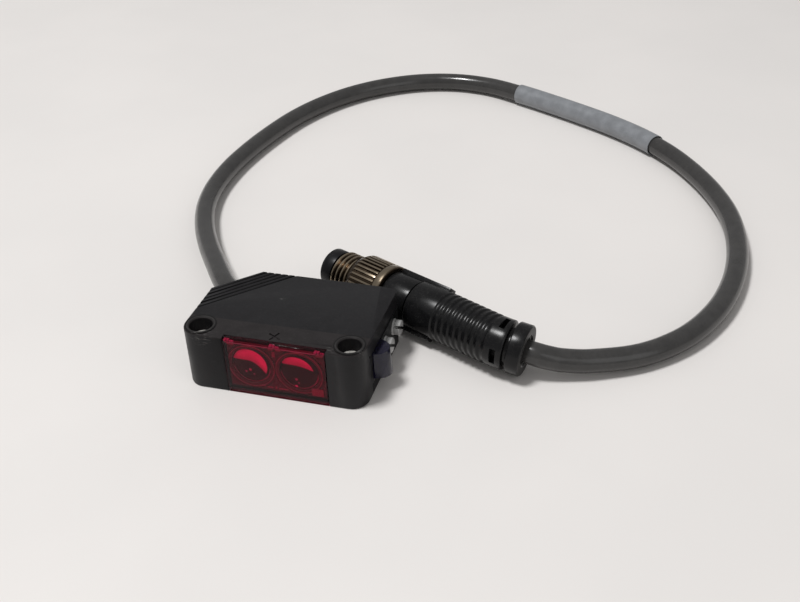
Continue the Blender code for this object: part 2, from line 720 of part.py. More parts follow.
def make_adjuster_panel():
    surface = material("adjuster_panel", (0.022, 0.022, 0.024), 0.4)
    low = (PANEL_BACK_X, PANEL_START_Y, SLOT_LOW_Z + FIT)
    panel = box("adjuster_panel", low, (PANEL_FRONT_X, SLOT_END_Y - FIT, SLOT_HIGH_Z - FIT), surface)
    seat = SKIRT_RADIUS + FIT
    bore = STEM_RADIUS + FIT
    for y in (SENSITIVITY_Y, SELECTOR_Y):
        profile = [
            (PANEL_BACK_X - WALL, 0),
            (PANEL_BACK_X - WALL, bore),
            (SKIRT_BACK_X - FIT, bore),
            (SKIRT_BACK_X - FIT, seat),
            (PANEL_FRONT_X + WALL, seat),
            (PANEL_FRONT_X + WALL, 0),
        ]
        cut(panel, turned("knob_seat_cut", profile, frame=along_axis((0, y, KNOB_Z), (1, 0, 0))))


def make_knob(name, y):
    """A skirted, slotted knob whose stem reaches into the control behind the panel."""
    surface = material(name, (0.55, 0.55, 0.53), 0.45)
    frame = along_axis((0, y, KNOB_Z), (1, 0, 0))
    top = END_X + KNOB_PROUD
    skirt_top = SKIRT_BACK_X + SKIRT_THICKNESS
    profile = [
        (CONTROL_FRONT_X - CONTROL_DEPTH / 2, 0),
        (CONTROL_FRONT_X - CONTROL_DEPTH / 2, STEM_RADIUS),
        (SKIRT_BACK_X, STEM_RADIUS),
        (SKIRT_BACK_X, SKIRT_RADIUS),
        (skirt_top, SKIRT_RADIUS),
        (skirt_top, KNOB_RADIUS),
        (top - FIT, KNOB_RADIUS),
        (top, KNOB_RADIUS - FIT),
        (top, 0),
    ]
    knob = turned(name, profile, surface, frame, steps=24)
    half = KNOB_SLOT_WIDTH / 2
    low = (top - KNOB_SLOT_DEPTH, -2 * KNOB_RADIUS, -half)
    turn = frame @ Matrix.Rotation(math.radians(-KNOB_SLOT_ANGLE), 4, "X")
    cut(knob, box("slot_tool", low, (top + WALL, 2 * KNOB_RADIUS, half), frame=turn))


def make_control(name, y, side, colour):
    """The trimmer or switch behind a knob, with a bore that takes the knob's stem."""
    surface = material(name, colour, 0.4)
    half = side / 2
    low = (CONTROL_BACK_X, y - half, KNOB_Z - half)
    body = box(name, low, (CONTROL_FRONT_X, y + half, KNOB_Z + half), surface)
    bore = STEM_RADIUS + FIT
    start = CONTROL_FRONT_X - CONTROL_DEPTH / 2 - FIT
    profile = [(start, 0), (start, bore), (CONTROL_FRONT_X + WALL, bore), (CONTROL_FRONT_X + WALL, 0)]
    cut(body, turned("stem_bore_cut", profile, frame=along_axis((0, y, KNOB_Z), (1, 0, 0))))


def make_seal(name, y):
    surface = material(name, (0.05, 0.03, 0.03), 0.6)
    middle = (CONTROL_FRONT_X + PANEL_BACK_X) / 2
    centre = (middle, STEM_RADIUS + FIT + SEAL_RADIUS)
    profile = arc(centre, SEAL_RADIUS, 0, 315, 7)
    turned(name, profile, surface, along_axis((0, y, KNOB_Z), (1, 0, 0)), steps=20, ring=True)


def make_insert(name, side):
    surface = material(name, (0.60, 0.58, 0.54), 0.25, 1.0)
    half = INSERT_LENGTH / 2
    outer = HOLE_RADIUS - FIT / 2
    inner = INSERT_BORE_RADIUS
    lead = inner + INSERT_LEAD
    profile = [
        (-half, outer),
        (half, outer),
        (half, lead),
        (half - INSERT_LEAD, inner),
        (INSERT_LEAD - half, inner),
        (-half, lead),
    ]
    frame = along_axis((side * HOLE_X, 0, MID_Z), (0, 0, 1))
    turned(name, profile, surface, frame, steps=24, ring=True)


# Cable


def smooth_line(points, per_span):
    """A smooth curve through the points, with its tangents from the neighbours at their real spacing."""
    points = [Vector(point) for point in points]
    knots = [0.0]
    for before, after in zip(points, points[1:]):
        knots.append(knots[-1] + (after - before).length)
    tangents = []
    last = len(points) - 1
    for index in range(len(points)):
        low = max(index - 1, 0)
        high = min(index + 1, last)
        tangents.append((points[high] - points[low]) / (knots[high] - knots[low]))
    line = [points[0]]
    for index in range(last):
        span = knots[index + 1] - knots[index]
        for step in range(1, per_span + 1):
            t = step / per_span
            spot = points[index] * (2 * t**3 - 3 * t**2 + 1)
            spot = spot + tangents[index] * span * (t**3 - 2 * t**2 + t)
            spot = spot + points[index + 1] * (3 * t**2 - 2 * t**3)
            spot = spot + tangents[index + 1] * span * (t**3 - t**2)
            line.append(spot)
    return line


def even_stretch(line, start, end, spacing):
    """Points at about the given spacing along a stretch of a line, both ends included."""
    lengths = [0.0]
    for before, after in zip(line, line[1:]):
        lengths.append(lengths[-1] + (after - before).length)
    count = max(2, round((end - start) / spacing))
    spots = []
    index = 0
    for step in range(count + 1):
        at = start + (end - start) * step / count
        while index < len(line) - 2 and lengths[index + 1] < at:
            index += 1
        share = (at - lengths[index]) / (lengths[index + 1] - lengths[index])
        spots.append(line[index].lerp(line[index + 1], min(share, 1.0)))
    return spots


def make_cable():
    surface = material("cable", (0.105, 0.108, 0.105), 0.5)
    line = smooth_line(ROUTE, 12)
    fine = CABLE_END_SPACING
    total = sum((after - before).length for before, after in zip(line, line[1:]))
    spots = even_stretch(line, 0.0, CABLE_END_STRETCH, fine)
    spots += even_stretch(line, CABLE_END_STRETCH, total - CABLE_END_STRETCH, CABLE_POINT_SPACING)[1:]
    spots += even_stretch(line, total - CABLE_END_STRETCH, total, fine)[1:]
    curve = bpy.data.curves.new("cable", "CURVE")
    curve.dimensions = "3D"
    curve.fill_mode = "FULL"
    curve.bevel_depth = CABLE_DIAMETER / 2
    curve.bevel_resolution = 3
    curve.use_fill_caps = True
    spline = curve.splines.new("POLY")
    spline.points.add(len(spots) - 1)
    for point, spot in zip(spline.points, spots):
        point.co = (*spot, 1.0)
    curve.materials.append(surface)
    cable = bpy.data.objects.new("cable", curve)
    bpy.context.scene.collection.objects.link(cable)


def make_cable_marker():
    """A thin sleeve that follows the cable."""
    surface = material("cable_marker", (0.40, 0.43, 0.46), 0.35)
    line = smooth_line(ROUTE, 12)
    spots = even_stretch(line, MARKER_START, MARKER_START + MARKER_LENGTH, MARKER_POINT_SPACING)
    inner = CABLE_DIAMETER / 2 + MARKER_FIT
    outer = inner + MARKER_THICKNESS
    steps = 16
    shape = bmesh.new()
    rings = []
    for index, spot in enumerate(spots):
        ahead = spots[min(index + 1, len(spots) - 1)] - spots[max(index - 1, 0)]
        side = ahead.cross(Vector((0, 0, 1))).normalized()
        up = side.cross(ahead).normalized()
        ring = []
        for radius in (outer, inner):
            for step in range(steps):
                turn = 2 * math.pi * step / steps
                arm = side * math.cos(turn) + up * math.sin(turn)
                ring.append(shape.verts.new(spot + arm * radius))
        rings.append(ring)
    for first, second in zip(rings, rings[1:]):
        for base in (0, steps):
            for step in range(steps):
                after = (step + 1) % steps
                corners = [first[base + step], first[base + after], second[base + after], second[base + step]]
                shape.faces.new(corners if base == 0 else corners[::-1])
    for ring in (rings[0], rings[-1]):
        for step in range(steps):
            after = (step + 1) % steps
            shape.faces.new([ring[step], ring[after], ring[steps + after], ring[steps + step]])
    make_object("cable_marker", shape, surface, smooth=True)


def make_cable_gland():
    """A plug in the cable corner with a flange outside and a socket for the cable."""
    surface = material("cable_gland", (0.025, 0.025, 0.026), 0.5)
    flange_end = FIT + GLAND_FLANGE
    socket_floor = flange_end - SOCKET_DEPTH
    profile = [
        (-GLAND_LENGTH, 0),
        (-GLAND_LENGTH, GLAND_RADIUS - GLAND_CHAMFER),
        (GLAND_CHAMFER - GLAND_LENGTH, GLAND_RADIUS),
        (FIT, GLAND_RADIUS),
        (FIT, GLAND_FLANGE_RADIUS),
        (flange_end - GLAND_CHAMFER, GLAND_FLANGE_RADIUS),
        (flange_end, GLAND_FLANGE_RADIUS - GLAND_CHAMFER),
        (flange_end, SOCKET_RADIUS),
        (socket_floor, SOCKET_RADIUS),
        (socket_floor, 0),
    ]
    turned("cable_gland", profile, surface, cable_axis())


# Plug


def plug_axis():
    """Origin on the plug's axis at the front rim of its grip, local X toward the cable."""
    turn = Matrix.Rotation(math.radians(PLUG_ANGLE), 4, "Z")
    return Matrix.Translation((PLUG_X, PLUG_Y, NUT_RADIUS + PLUG_LIFT)) @ turn


def bend_relief(spot):
    """Where a point of the straight grip lies once the bend relief gives way to the side and down."""
    past = spot.x - BEND_START
    if past <= 0:
        return spot
    full = math.radians(BEND_ANGLE)
    radius = BEND_LENGTH / full
    curved = min(past, BEND_LENGTH)
    turn = full * curved / BEND_LENGTH
    droop = math.radians(BEND_DROOP)
    toward = Vector((0, math.cos(droop), -math.sin(droop)))
    level = Vector((0, math.sin(droop), math.cos(droop)))
    along = Vector((1, 0, 0))
    ahead = along * math.cos(turn) + toward * math.sin(turn)
    side = toward * math.cos(turn) - along * math.sin(turn)
    middle = along * (BEND_START + radius * math.sin(turn)) + toward * radius * (1 - math.cos(turn))
    return middle + ahead * (past - curved) + side * spot.dot(toward) + level * spot.dot(level)


def grip_profile():
    """Neck, rim, ribs, bend relief, groove and end flange, from the seat of the contact carrier."""
    points = [
        (NECK_SEAT - NECK_LENGTH, 0),
        (NECK_SEAT - NECK_LENGTH, CARRIER_RADIUS + FIT),
        (-NECK_LENGTH, CARRIER_RADIUS + FIT),
        (-NECK_LENGTH, NECK_RADIUS - SMALL_CHAMFER),
        (SMALL_CHAMFER - NECK_LENGTH, NECK_RADIUS),
        (0, NECK_RADIUS),
        (0, GRIP_RADIUS - FIT),
        (FIT, GRIP_RADIUS),
    ]
    for rib in range(RIB_COUNT):
        start = RIB_START + rib * RIB_PITCH
        share = start / RELIEF_START
        radius = GRIP_RADIUS + (GRIP_REAR_RADIUS - GRIP_RADIUS) * share
        slope = RIB_GROOVE / 4
        points += [
            (start, radius),
            (start + slope, radius - RIB_DEPTH),
            (start + RIB_GROOVE - slope, radius - RIB_DEPTH),
            (start + RIB_GROOVE, radius),
        ]
    points += [
        (RELIEF_START, GRIP_REAR_RADIUS),
        (RELIEF_END_S - SMALL_CHAMFER, GRIP_REAR_RADIUS),
        (RELIEF_END_S, GRIP_REAR_RADIUS - SMALL_CHAMFER),
        (RELIEF_END_S, RELIEF_CORE_RADIUS),
        (FLANGE_START_S, RELIEF_CORE_RADIUS),
        (FLANGE_START_S, FLANGE_RADIUS - SMALL_CHAMFER),
        (FLANGE_START_S + SMALL_CHAMFER, FLANGE_RADIUS),
        (GRIP_END_S - SMALL_CHAMFER, FLANGE_RADIUS),
        (GRIP_END_S, FLANGE_RADIUS - SMALL_CHAMFER),
        (GRIP_END_S, SOCKET_RADIUS),
        (GRIP_END_S - SOCKET_DEPTH - CORD_FIT, SOCKET_RADIUS),
        (GRIP_END_S - SOCKET_DEPTH - CORD_FIT, 0),
    ]
    return points


def make_plug_grip():
    """The overmoulded grip, with two key bars, four relief pockets and its bent end."""
    surface = material("plug_grip", (0.022, 0.022, 0.022), 0.4)
    frame = plug_axis()
    grip = turned("plug_grip", grip_profile(), surface, frame)
    tools = []
    for tilt in (-45, 135):
        turn = frame @ Matrix.Rotation(math.radians(tilt), 4, "X")
        start = SMALL_CHAMFER - NECK_LENGTH
        low = (start, -BAR_WIDTH / 2, NECK_RADIUS - RIB_DEPTH)
        bar = box("key_bar", low, (start + BAR_LENGTH, BAR_WIDTH / 2, BAR_RADIUS), frame=turn)
        bevel_edges(bar, BAR_BEVEL, 1, 50)
        add(grip, bar)
        tools.append(bar)
    pocket_start = RELIEF_START + POCKET_SETBACK
    for quarter in range(4):
        turn = frame @ Matrix.Rotation(math.radians(90 * quarter), 4, "X")
        low = (pocket_start, -POCKET_WIDTH / 2, GRIP_REAR_RADIUS - POCKET_DEPTH)
        high = (pocket_start + POCKET_LENGTH, POCKET_WIDTH / 2, GRIP_REAR_RADIUS + WALL)
        pocket = box("relief_pocket_cut", low, high, frame=turn)
        cut(grip, pocket)
        tools.append(pocket)
    bake_modifiers(grip)
    for tool in tools:
        bpy.data.objects.remove(tool, do_unlink=True)
    for point in grip.data.vertices:
        point.co = bend_relief(point.co.copy())


def make_coupling_nut():
    """The knurled nut with its rear rim and the sleeve that carries the outer thread."""
    surface = material("coupling_nut", (0.42, 0.37, 0.29), 0.28, 1.0)
    frame = plug_axis()
    bore = CARRIER_RADIUS + 1.5 * FIT
    profile = [
        (NUT_REAR_S, bore),
        (NUT_REAR_S, NUT_RADIUS - SMALL_CHAMFER),
        (NUT_REAR_S - SMALL_CHAMFER, NUT_RADIUS),
        (NUT_FRONT_S + NUT_CHAMFER_LENGTH, NUT_RADIUS),
        (NUT_FRONT_S, NUT_RADIUS - NUT_CHAMFER),
        (NUT_FRONT_S, THREAD_RADIUS),
        (THREAD_FRONT_S + SMALL_CHAMFER, THREAD_RADIUS),
        (THREAD_FRONT_S, THREAD_RADIUS - SMALL_CHAMFER),
        (THREAD_FRONT_S, bore),
    ]
    nut = turned("coupling_nut", profile, surface, frame, NUT_STEPS, ring=True)
    grooves = bmesh.new()
    length = NUT_LENGTH - NUT_RIM + WALL
    middle = NUT_REAR_S - NUT_RIM - length / 2
    size = Matrix.Diagonal((length, KNURL_WIDTH, WALL, 1))
    for number in range(KNURL_COUNT):
        turn = Matrix.Rotation(2 * math.pi * (number + 0.5) / KNURL_COUNT, 4, "X")
        place = turn @ Matrix.Translation((middle, 0, NUT_RADIUS + WALL / 2 - KNURL_DEPTH))
        bmesh.ops.create_cube(grooves, size=1.0, matrix=place @ size)
    cut(nut, make_object("knurl_cut", grooves, frame=frame))


def pin_place(number):
    turn = math.radians(45 + 360 / PIN_COUNT * number)
    return Vector((0, PIN_CIRCLE_RADIUS * math.cos(turn), PIN_CIRCLE_RADIUS * math.sin(turn)))


def make_contact_carrier():
    """The insulating body with its front collar, the mating cavity, a key and the pins' seats."""
    surface = material("contact_carrier", (0.020, 0.020, 0.020), 0.5)
    frame = plug_axis()
    rear = NECK_SEAT - NECK_LENGTH - FIT
    profile = [
        (rear, 0),
        (rear, CARRIER_RADIUS),
        (COLLAR_REAR_S, CARRIER_RADIUS),
        (COLLAR_REAR_S, COLLAR_RADIUS),
        (COLLAR_FRONT_S + SMALL_CHAMFER, COLLAR_RADIUS),
        (COLLAR_FRONT_S, COLLAR_RADIUS - SMALL_CHAMFER),
        (COLLAR_FRONT_S, CAVITY_RADIUS),
        (CAVITY_FLOOR_S, CAVITY_RADIUS),
        (CAVITY_FLOOR_S, 0),
    ]
    carrier = turned("contact_carrier", profile, surface, frame)
    low = (COLLAR_FRONT_S + 5 * FIT, -KEY_WIDTH / 2, CAVITY_RADIUS - KEY_HEIGHT)
    high = (CAVITY_FLOOR_S + FIT, KEY_WIDTH / 2, CAVITY_RADIUS + 2 * FIT)
    add(carrier, box("cavity_key", low, high, frame=frame))
    seat = PIN_RADIUS + FIT / 2
    for number in range(PIN_COUNT):
        end = CAVITY_FLOOR_S + PIN_SEAT + FIT
        hole = [(CAVITY_FLOOR_S - WALL, 0), (CAVITY_FLOOR_S - WALL, seat), (end, seat), (end, 0)]
        tool = turned("pin_seat_cut", hole, frame=frame @ Matrix.Translation(pin_place(number)), steps=12)
        cut(carrier, tool)


def make_contact_pin(number):
    name = f"contact_pin_{number + 1}"
    surface = material(name, (0.72, 0.58, 0.30), 0.2, 1.0)
    end = CAVITY_FLOOR_S + PIN_SEAT
    tip = CAVITY_FLOOR_S - PIN_LENGTH
    profile = [(end, 0), (end, PIN_RADIUS), (tip + PIN_TIP_LENGTH, PIN_RADIUS)]
    profile.append((tip, PIN_TIP_RADIUS))
    profile.append((tip, 0))
    turned(name, profile, surface, plug_axis() @ Matrix.Translation(pin_place(number)), steps=12)


def build():
    clear_scene()
    make_case()
    make_front_window()
    make_lens_frame()
    make_lens("receiver_lens", RECEIVER_X)
    make_lens("emitter_lens", EMITTER_X)
    make_polariser("receiver_polariser", RECEIVER_X)
    make_polariser("emitter_polariser", EMITTER_X)
    make_light_baffle()
    make_emitter_diode()
    make_receiver()
    make_boards()
    make_indicator_window()
    make_lamp("operation_indicator", -1, (0.75, 0.30, 0.05))
    make_lamp("stability_indicator", 1, (0.10, 0.45, 0.12))
    make_adjuster_panel()
    make_knob("sensitivity_adjuster", SENSITIVITY_Y)
    make_knob("mode_selector", SELECTOR_Y)
    make_control("trimmer_body", SENSITIVITY_Y, TRIMMER_SIDE, (0.04, 0.10, 0.30))
    make_control("switch_body", SELECTOR_Y, SWITCH_SIDE, (0.03, 0.03, 0.03))
    make_seal("sensitivity_seal", SENSITIVITY_Y)
    make_seal("selector_seal", SELECTOR_Y)
    make_insert("left_insert", -1)
    make_insert("right_insert", 1)
    make_cable_gland()
    make_cable()
    make_cable_marker()
    make_plug_grip()
    make_coupling_nut()
    make_contact_carrier()
    for number in range(PIN_COUNT):
        make_contact_pin(number)


build()
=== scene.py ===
"""Looks of the small square photoelectric sensor, its pigtail cable and its round plug.

Everything is in metres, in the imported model's frame: the sensor lies on its side on the table, +X runs
toward its indicator end, +Y away from its lens face, +Z up.
"""

import math

import bmesh
import bpy
from mathutils import Matrix, Vector


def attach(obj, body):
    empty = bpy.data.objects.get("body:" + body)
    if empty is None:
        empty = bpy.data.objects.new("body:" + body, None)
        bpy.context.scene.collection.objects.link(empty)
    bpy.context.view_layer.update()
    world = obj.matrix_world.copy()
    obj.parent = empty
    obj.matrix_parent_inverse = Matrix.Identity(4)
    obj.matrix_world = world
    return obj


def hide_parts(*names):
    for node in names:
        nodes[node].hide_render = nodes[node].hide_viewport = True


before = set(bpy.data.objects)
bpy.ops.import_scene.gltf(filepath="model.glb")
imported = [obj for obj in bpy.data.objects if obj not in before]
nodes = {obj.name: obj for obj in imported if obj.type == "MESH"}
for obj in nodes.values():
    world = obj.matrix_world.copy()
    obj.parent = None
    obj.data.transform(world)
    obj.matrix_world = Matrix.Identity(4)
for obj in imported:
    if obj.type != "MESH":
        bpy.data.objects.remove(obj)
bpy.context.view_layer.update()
MM = 0.001


# Camera
# It stands to the right in front of the sensor and looks down on the table, about 50 mm on a 36 mm
# sensor, placed so that the case's corners and its two holes fall where the photograph shows them.
CAMERA_SPOT = Vector((0.0627468739, -0.131710828, 0.113090815))
CAMERA_YAW = -0.305089490
CAMERA_PITCH = 0.591553991
CAMERA_ROLL = -0.0450607968
PHOTO_WIDTH = 800
FOCAL_PIXELS = 1112.73394

ahead = Vector((math.sin(CAMERA_YAW), math.cos(CAMERA_YAW), 0)) * math.cos(CAMERA_PITCH)
ahead.z = -math.sin(CAMERA_PITCH)
level_right = Vector((math.cos(CAMERA_YAW), -math.sin(CAMERA_YAW), 0))
level_up = level_right.cross(ahead)
right = level_right * math.cos(CAMERA_ROLL) + level_up * math.sin(CAMERA_ROLL)
up = level_up * math.cos(CAMERA_ROLL) - level_right * math.sin(CAMERA_ROLL)
lens = bpy.data.cameras.new("camera")
lens.sensor_width = 36.0
lens.lens = FOCAL_PIXELS / PHOTO_WIDTH * lens.sensor_width
lens.clip_start = 0.002
camera = bpy.data.objects.new("camera", lens)
camera.matrix_world = Matrix.Translation(CAMERA_SPOT) @ Matrix((right, up, -ahead)).transposed().to_4x4()
bpy.context.scene.collection.objects.link(camera)
bpy.context.scene.camera = camera
bpy.context.scene.view_settings.view_transform = "Standard"


# Cable
# A grey vinyl sheath 4 mm thick over four cores. It leaves the cut-off corner of the case, lies in one
# open loop on the table and rises a little into the plug's bend relief. The photograph shows all of it.
CABLE_DIAMETER = 4 * MM
SPAN_STEPS = 6
ROUTE = (
    (-0.0125, 0.0142, 0.0054),
    (-0.0153, 0.0171, 0.0054),
    (-0.0183, 0.0205, 0.0051),
    (-0.0226, 0.0266, 0.0044),
    (-0.0277, 0.0342, 0.0035),
    (-0.0322, 0.0421, 0.0028),
    (-0.0357, 0.0505, 0.0023),
    (-0.0376, 0.0594, 0.0021),
    (-0.0379, 0.0687, 0.0021),
    (-0.0370, 0.0777, 0.0021),
    (-0.0353, 0.0868, 0.0021),
    (-0.0329, 0.0956, 0.0021),
    (-0.0292, 0.1039, 0.0021),
    (-0.0240, 0.1115, 0.0021),
    (-0.0173, 0.1177, 0.0021),
    (-0.0093, 0.1221, 0.0021),
    (-0.0003, 0.1240, 0.0021),
    (0.0086, 0.1228, 0.0022),
    (0.0170, 0.1190, 0.0024),
    (0.0251, 0.1148, 0.0024),
    (0.0331, 0.1103, 0.0024),
    (0.0409, 0.1055, 0.0024),
    (0.0482, 0.1000, 0.0024),
    (0.0548, 0.0936, 0.0023),
    (0.0603, 0.0864, 0.0021),
    (0.0648, 0.0783, 0.0021),
    (0.0681, 0.0698, 0.0021),
    (0.0699, 0.0609, 0.0021),
    (0.0704, 0.0518, 0.0021),
    (0.0695, 0.0426, 0.0021),
    (0.0671, 0.0339, 0.0021),
    (0.0628, 0.0258, 0.0021),
    (0.0564, 0.0193, 0.0022),
    (0.0486, 0.0151, 0.0027),
    (0.0440, 0.0136, 0.0032),
    (0.0417, 0.01302, 0.0038),
    (0.03985, 0.01273, 0.00433),
    (0.03848, 0.01296, 0.00447),
    (0.03745, 0.01314, 0.00459),
)


def smooth_line(points, per_span):
    """A smooth curve through the route's points, its tangents taken from the neighbours."""
    points = [Vector(point) for point in points]
    knots = [0.0]
    for before, after in zip(points, points[1:]):
        knots.append(knots[-1] + (after - before).length)
    last = len(points) - 1
    tangents = []
    for index in range(len(points)):
        low = max(index - 1, 0)
        high = min(index + 1, last)
        tangents.append((points[high] - points[low]) / (knots[high] - knots[low]))
    line = [points[0]]
    for index in range(last):
        span = knots[index + 1] - knots[index]
        for step in range(1, per_span + 1):
            t = step / per_span
            spot = points[index] * (2 * t**3 - 3 * t**2 + 1)
            spot = spot + tangents[index] * span * (t**3 - 2 * t**2 + t)
            spot = spot + points[index + 1] * (3 * t**2 - 2 * t**3)
            spot = spot + tangents[index + 1] * span * (t**3 - t**2)
            line.append(spot)
    return line


def tube(name, line, radius, sides):
    """A curve with a round bevel along a line of points."""
    curve = bpy.data.curves.new(name, "CURVE")
    curve.dimensions = "3D"
    curve.fill_mode = "FULL"
    curve.bevel_depth = radius
    curve.bevel_resolution = sides // 2 - 2
    spline = curve.splines.new("POLY")
    spline.points.add(len(line) - 1)
    for point, spot in zip(spline.points, line):
        point.co = (*spot, 1.0)
    spline.use_smooth = True
    made = bpy.data.objects.new(name, curve)
    bpy.context.scene.collection.objects.link(made)
    return made


def add_node(tree, kind, inputs=None, **settings):
    """A shader node with its settings. An input given as another node's output is linked to it."""
    made = tree.nodes.new("ShaderNode" + kind)
    for key, value in settings.items():
        setattr(made, key, value)
    for key, value in (inputs or {}).items():
        if isinstance(value, bpy.types.NodeSocket):
            tree.links.new(value, made.inputs[key])
        else:
            made.inputs[key].default_value = value
    return made


def maths(tree, operation, first, second=0.0, third=0.0, clamp=False):
    made = add_node(tree, "Math", {0: first, 1: second, 2: third}, operation=operation, use_clamp=clamp)
    return made.outputs[0]


def times(tree, first, second):
    return maths(tree, "MULTIPLY", first, second)


def minus(tree, first, second):
    return maths(tree, "SUBTRACT", first, second)


def vectors(tree, operation, first, second=(0, 0, 0)):
    """A vector node. Its output 0 is a vector, and "Value" is a number."""
    return add_node(tree, "VectorMath", {0: first, 1: second}, operation=operation).outputs


def ramp(tree, value, low, high, start=0.0, end=1.0):
    """The value from low to high as start to end, eased at both ends."""
    inputs = {"Value": value, 1: low, 2: high, 3: start, 4: end}
    return add_node(tree, "MapRange", inputs, interpolation_type="SMOOTHSTEP").outputs[0]


def blend_colours(tree, factor, first, second, way="MIX"):
    made = add_node(tree, "Mix", {0: factor, 6: first, 7: second}, data_type="RGBA", blend_type=way)
    return made.outputs[2]


def new_group(name, inputs, outputs):
    """An empty node group with named sockets. Inputs are (name, kind, value)."""
    group = bpy.data.node_groups.new(name, "ShaderNodeTree")
    for label, kind, value in inputs:
        socket = group.interface.new_socket(label, in_out="INPUT", socket_type="NodeSocket" + kind)
        socket.default_value = value
    for label, kind in outputs:
        group.interface.new_socket(label, in_out="OUTPUT", socket_type="NodeSocket" + kind)
    return group, group.nodes.new("NodeGroupInput"), group.nodes.new("NodeGroupOutput")


def millimetres(tree, stretch=(1.0, 1.0, 1.0)):
    """Object coordinates in millimetres."""
    place = add_node(tree, "TexCoord").outputs["Object"]
    scale = tuple(factor / MM for factor in stretch)
    return vectors(tree, "MULTIPLY", place, scale)[0]


def noise(tree, place, scale, detail=2.0, roughness=0.5):
    inputs = {"Vector": place, "Scale": scale, "Detail": detail, "Roughness": roughness}
    return add_node(tree, "TexNoise", inputs).outputs["Fac"]


# Every plastic and rubber piece shares this: a fine moulded grain, patches of uneven gloss, dust that
# has settled on what faces up, and light scuffs that run with the case.
moulded_skin, given, result = new_group(
    "moulded skin",
    (
        ("Color", "Color", (0.03, 0.03, 0.03, 1.0)),
        ("Roughness", "Float", 0.5),
        ("Grain", "Float", 6.0),
        ("Dust", "Float", 0.2),
        ("Scuffs", "Float", 0.2),
    ),
    (("Color", "Color"), ("Roughness", "Float"), ("Height", "Float")),
)
tree = moulded_skin
place = millimetres(tree)
fine = noise(tree, place, given.outputs["Grain"], 3.0, 0.6)
broad = noise(tree, place, 0.45, 3.0)
specks = noise(tree, place, 2.6, 5.0, 0.75)
streak_place = millimetres(tree, (0.35, 2.8, 2.8))
streaks = noise(tree, streak_place, 1.5, 3.0, 0.7)
normal = add_node(tree, "NewGeometry").outputs["Normal"]
upward = ramp(tree, add_node(tree, "SeparateXYZ", {0: normal}).outputs["Z"], 0.2, 0.9)
dust = times(tree, ramp(tree, specks, 0.5, 0.78), upward)
dust = times(tree, dust, given.outputs["Dust"])
scuff = times(tree, ramp(tree, streaks, 0.62, 0.74), ramp(tree, broad, 0.45, 0.7))
scuff = times(tree, scuff, given.outputs["Scuffs"])
broad_shade = ramp(tree, broad, 0.25, 0.75, 0.88, 1.12)
shade = times(tree, broad_shade, ramp(tree, fine, 0.2, 0.8, 0.93, 1.07))
shade = add_node(tree, "CombineXYZ", {0: shade, 1: shade, 2: shade}).outputs[0]
tone = blend_colours(tree, 1.0, given.outputs["Color"], shade, "MULTIPLY")
tone = blend_colours(tree, scuff, tone, (0.16, 0.155, 0.15, 1.0))
tone = blend_colours(tree, dust, tone, (0.42, 0.40, 0.37, 1.0))
uneven = ramp(tree, broad, 0.2, 0.8, -0.06, 0.06)
gloss = maths(tree, "ADD", given.outputs["Roughness"], uneven)
gloss = maths(tree, "ADD", gloss, times(tree, dust, 0.4), clamp=True)
rise = minus(tree, fine, times(tree, scuff, 0.5))
tree.links.new(tone, result.inputs["Color"])
tree.links.new(gloss, result.inputs["Roughness"])
tree.links.new(rise, result.inputs["Height"])


def new_material(name):
    """A material, its tree and its Principled shader."""
    made = bpy.data.materials.new(name)
    made.use_nodes = True
    return made, made.node_tree, made.node_tree.nodes["Principled BSDF"]


def dress(tree, skin, shader, depth):
    """Feeds a skin's colour, roughness and relief to a shader, the relief's depth in millimetres."""
    relief = {"Height": skin.outputs["Height"], "Distance": depth * MM, "Strength": 1.0}
    bump = add_node(tree, "Bump", relief)
    tree.links.new(skin.outputs["Color"], shader.inputs["Base Color"])
    tree.links.new(skin.outputs["Roughness"], shader.inputs["Roughness"])
    tree.links.new(bump.outputs["Normal"], shader.inputs["Normal"])


def moulded(name, colour, roughness, grain=6.0, depth=0.006, dust=0.25, scuffs=0.2, shine=0.5):
    """A moulded plastic or rubber, with its grain per millimetre and its depth in millimetres."""
    made, tree, shader = new_material(name)
    inputs = {"Color": (*colour, 1.0), "Roughness": roughness, "Grain": grain}
    inputs |= {"Dust": dust, "Scuffs": scuffs}
    skin = add_node(tree, "Group", node_tree=moulded_skin)
    for key, value in inputs.items():
        skin.inputs[key].default_value = value
    dress(tree, skin, shader, depth)
    shader.inputs["Specular IOR Level"].default_value = shine
    return made


def fit(piece, body, slot, *replaced):
    """The piece rides on a body and stands for the CAD nodes named. Its slot is not used."""
    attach(piece, body)
    if replaced:
        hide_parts(*replaced)


cable_line = smooth_line(ROUTE, SPAN_STEPS)
cable = tube("cable_sheath", cable_line, CABLE_DIAMETER / 2, 32)
cable.data.use_fill_caps = True
vinyl = moulded("grey vinyl", (0.038, 0.0368, 0.036), 0.21, 2.0, 0.002, 0.02, 0.06, 0.5)
cable.data.materials.append(vinyl)
fit(cable, "sensor", "cable_sheath", "cable")


# Marker sleeve
# A pale printed film shrunk onto the cable behind the middle of the loop. Its print is left off, so it
# is bare film, a little cloudy, with the cable showing dark at both of its ends.
MARKER_START = 153.3 * MM
MARKER_LENGTH = 41 * MM
MARKER_RADIUS = 2.28 * MM
MARKER_THICKNESS = 0.13 * MM
MARKER_SPACING = 1.0 * MM
MERGE_REACH = 1e-7


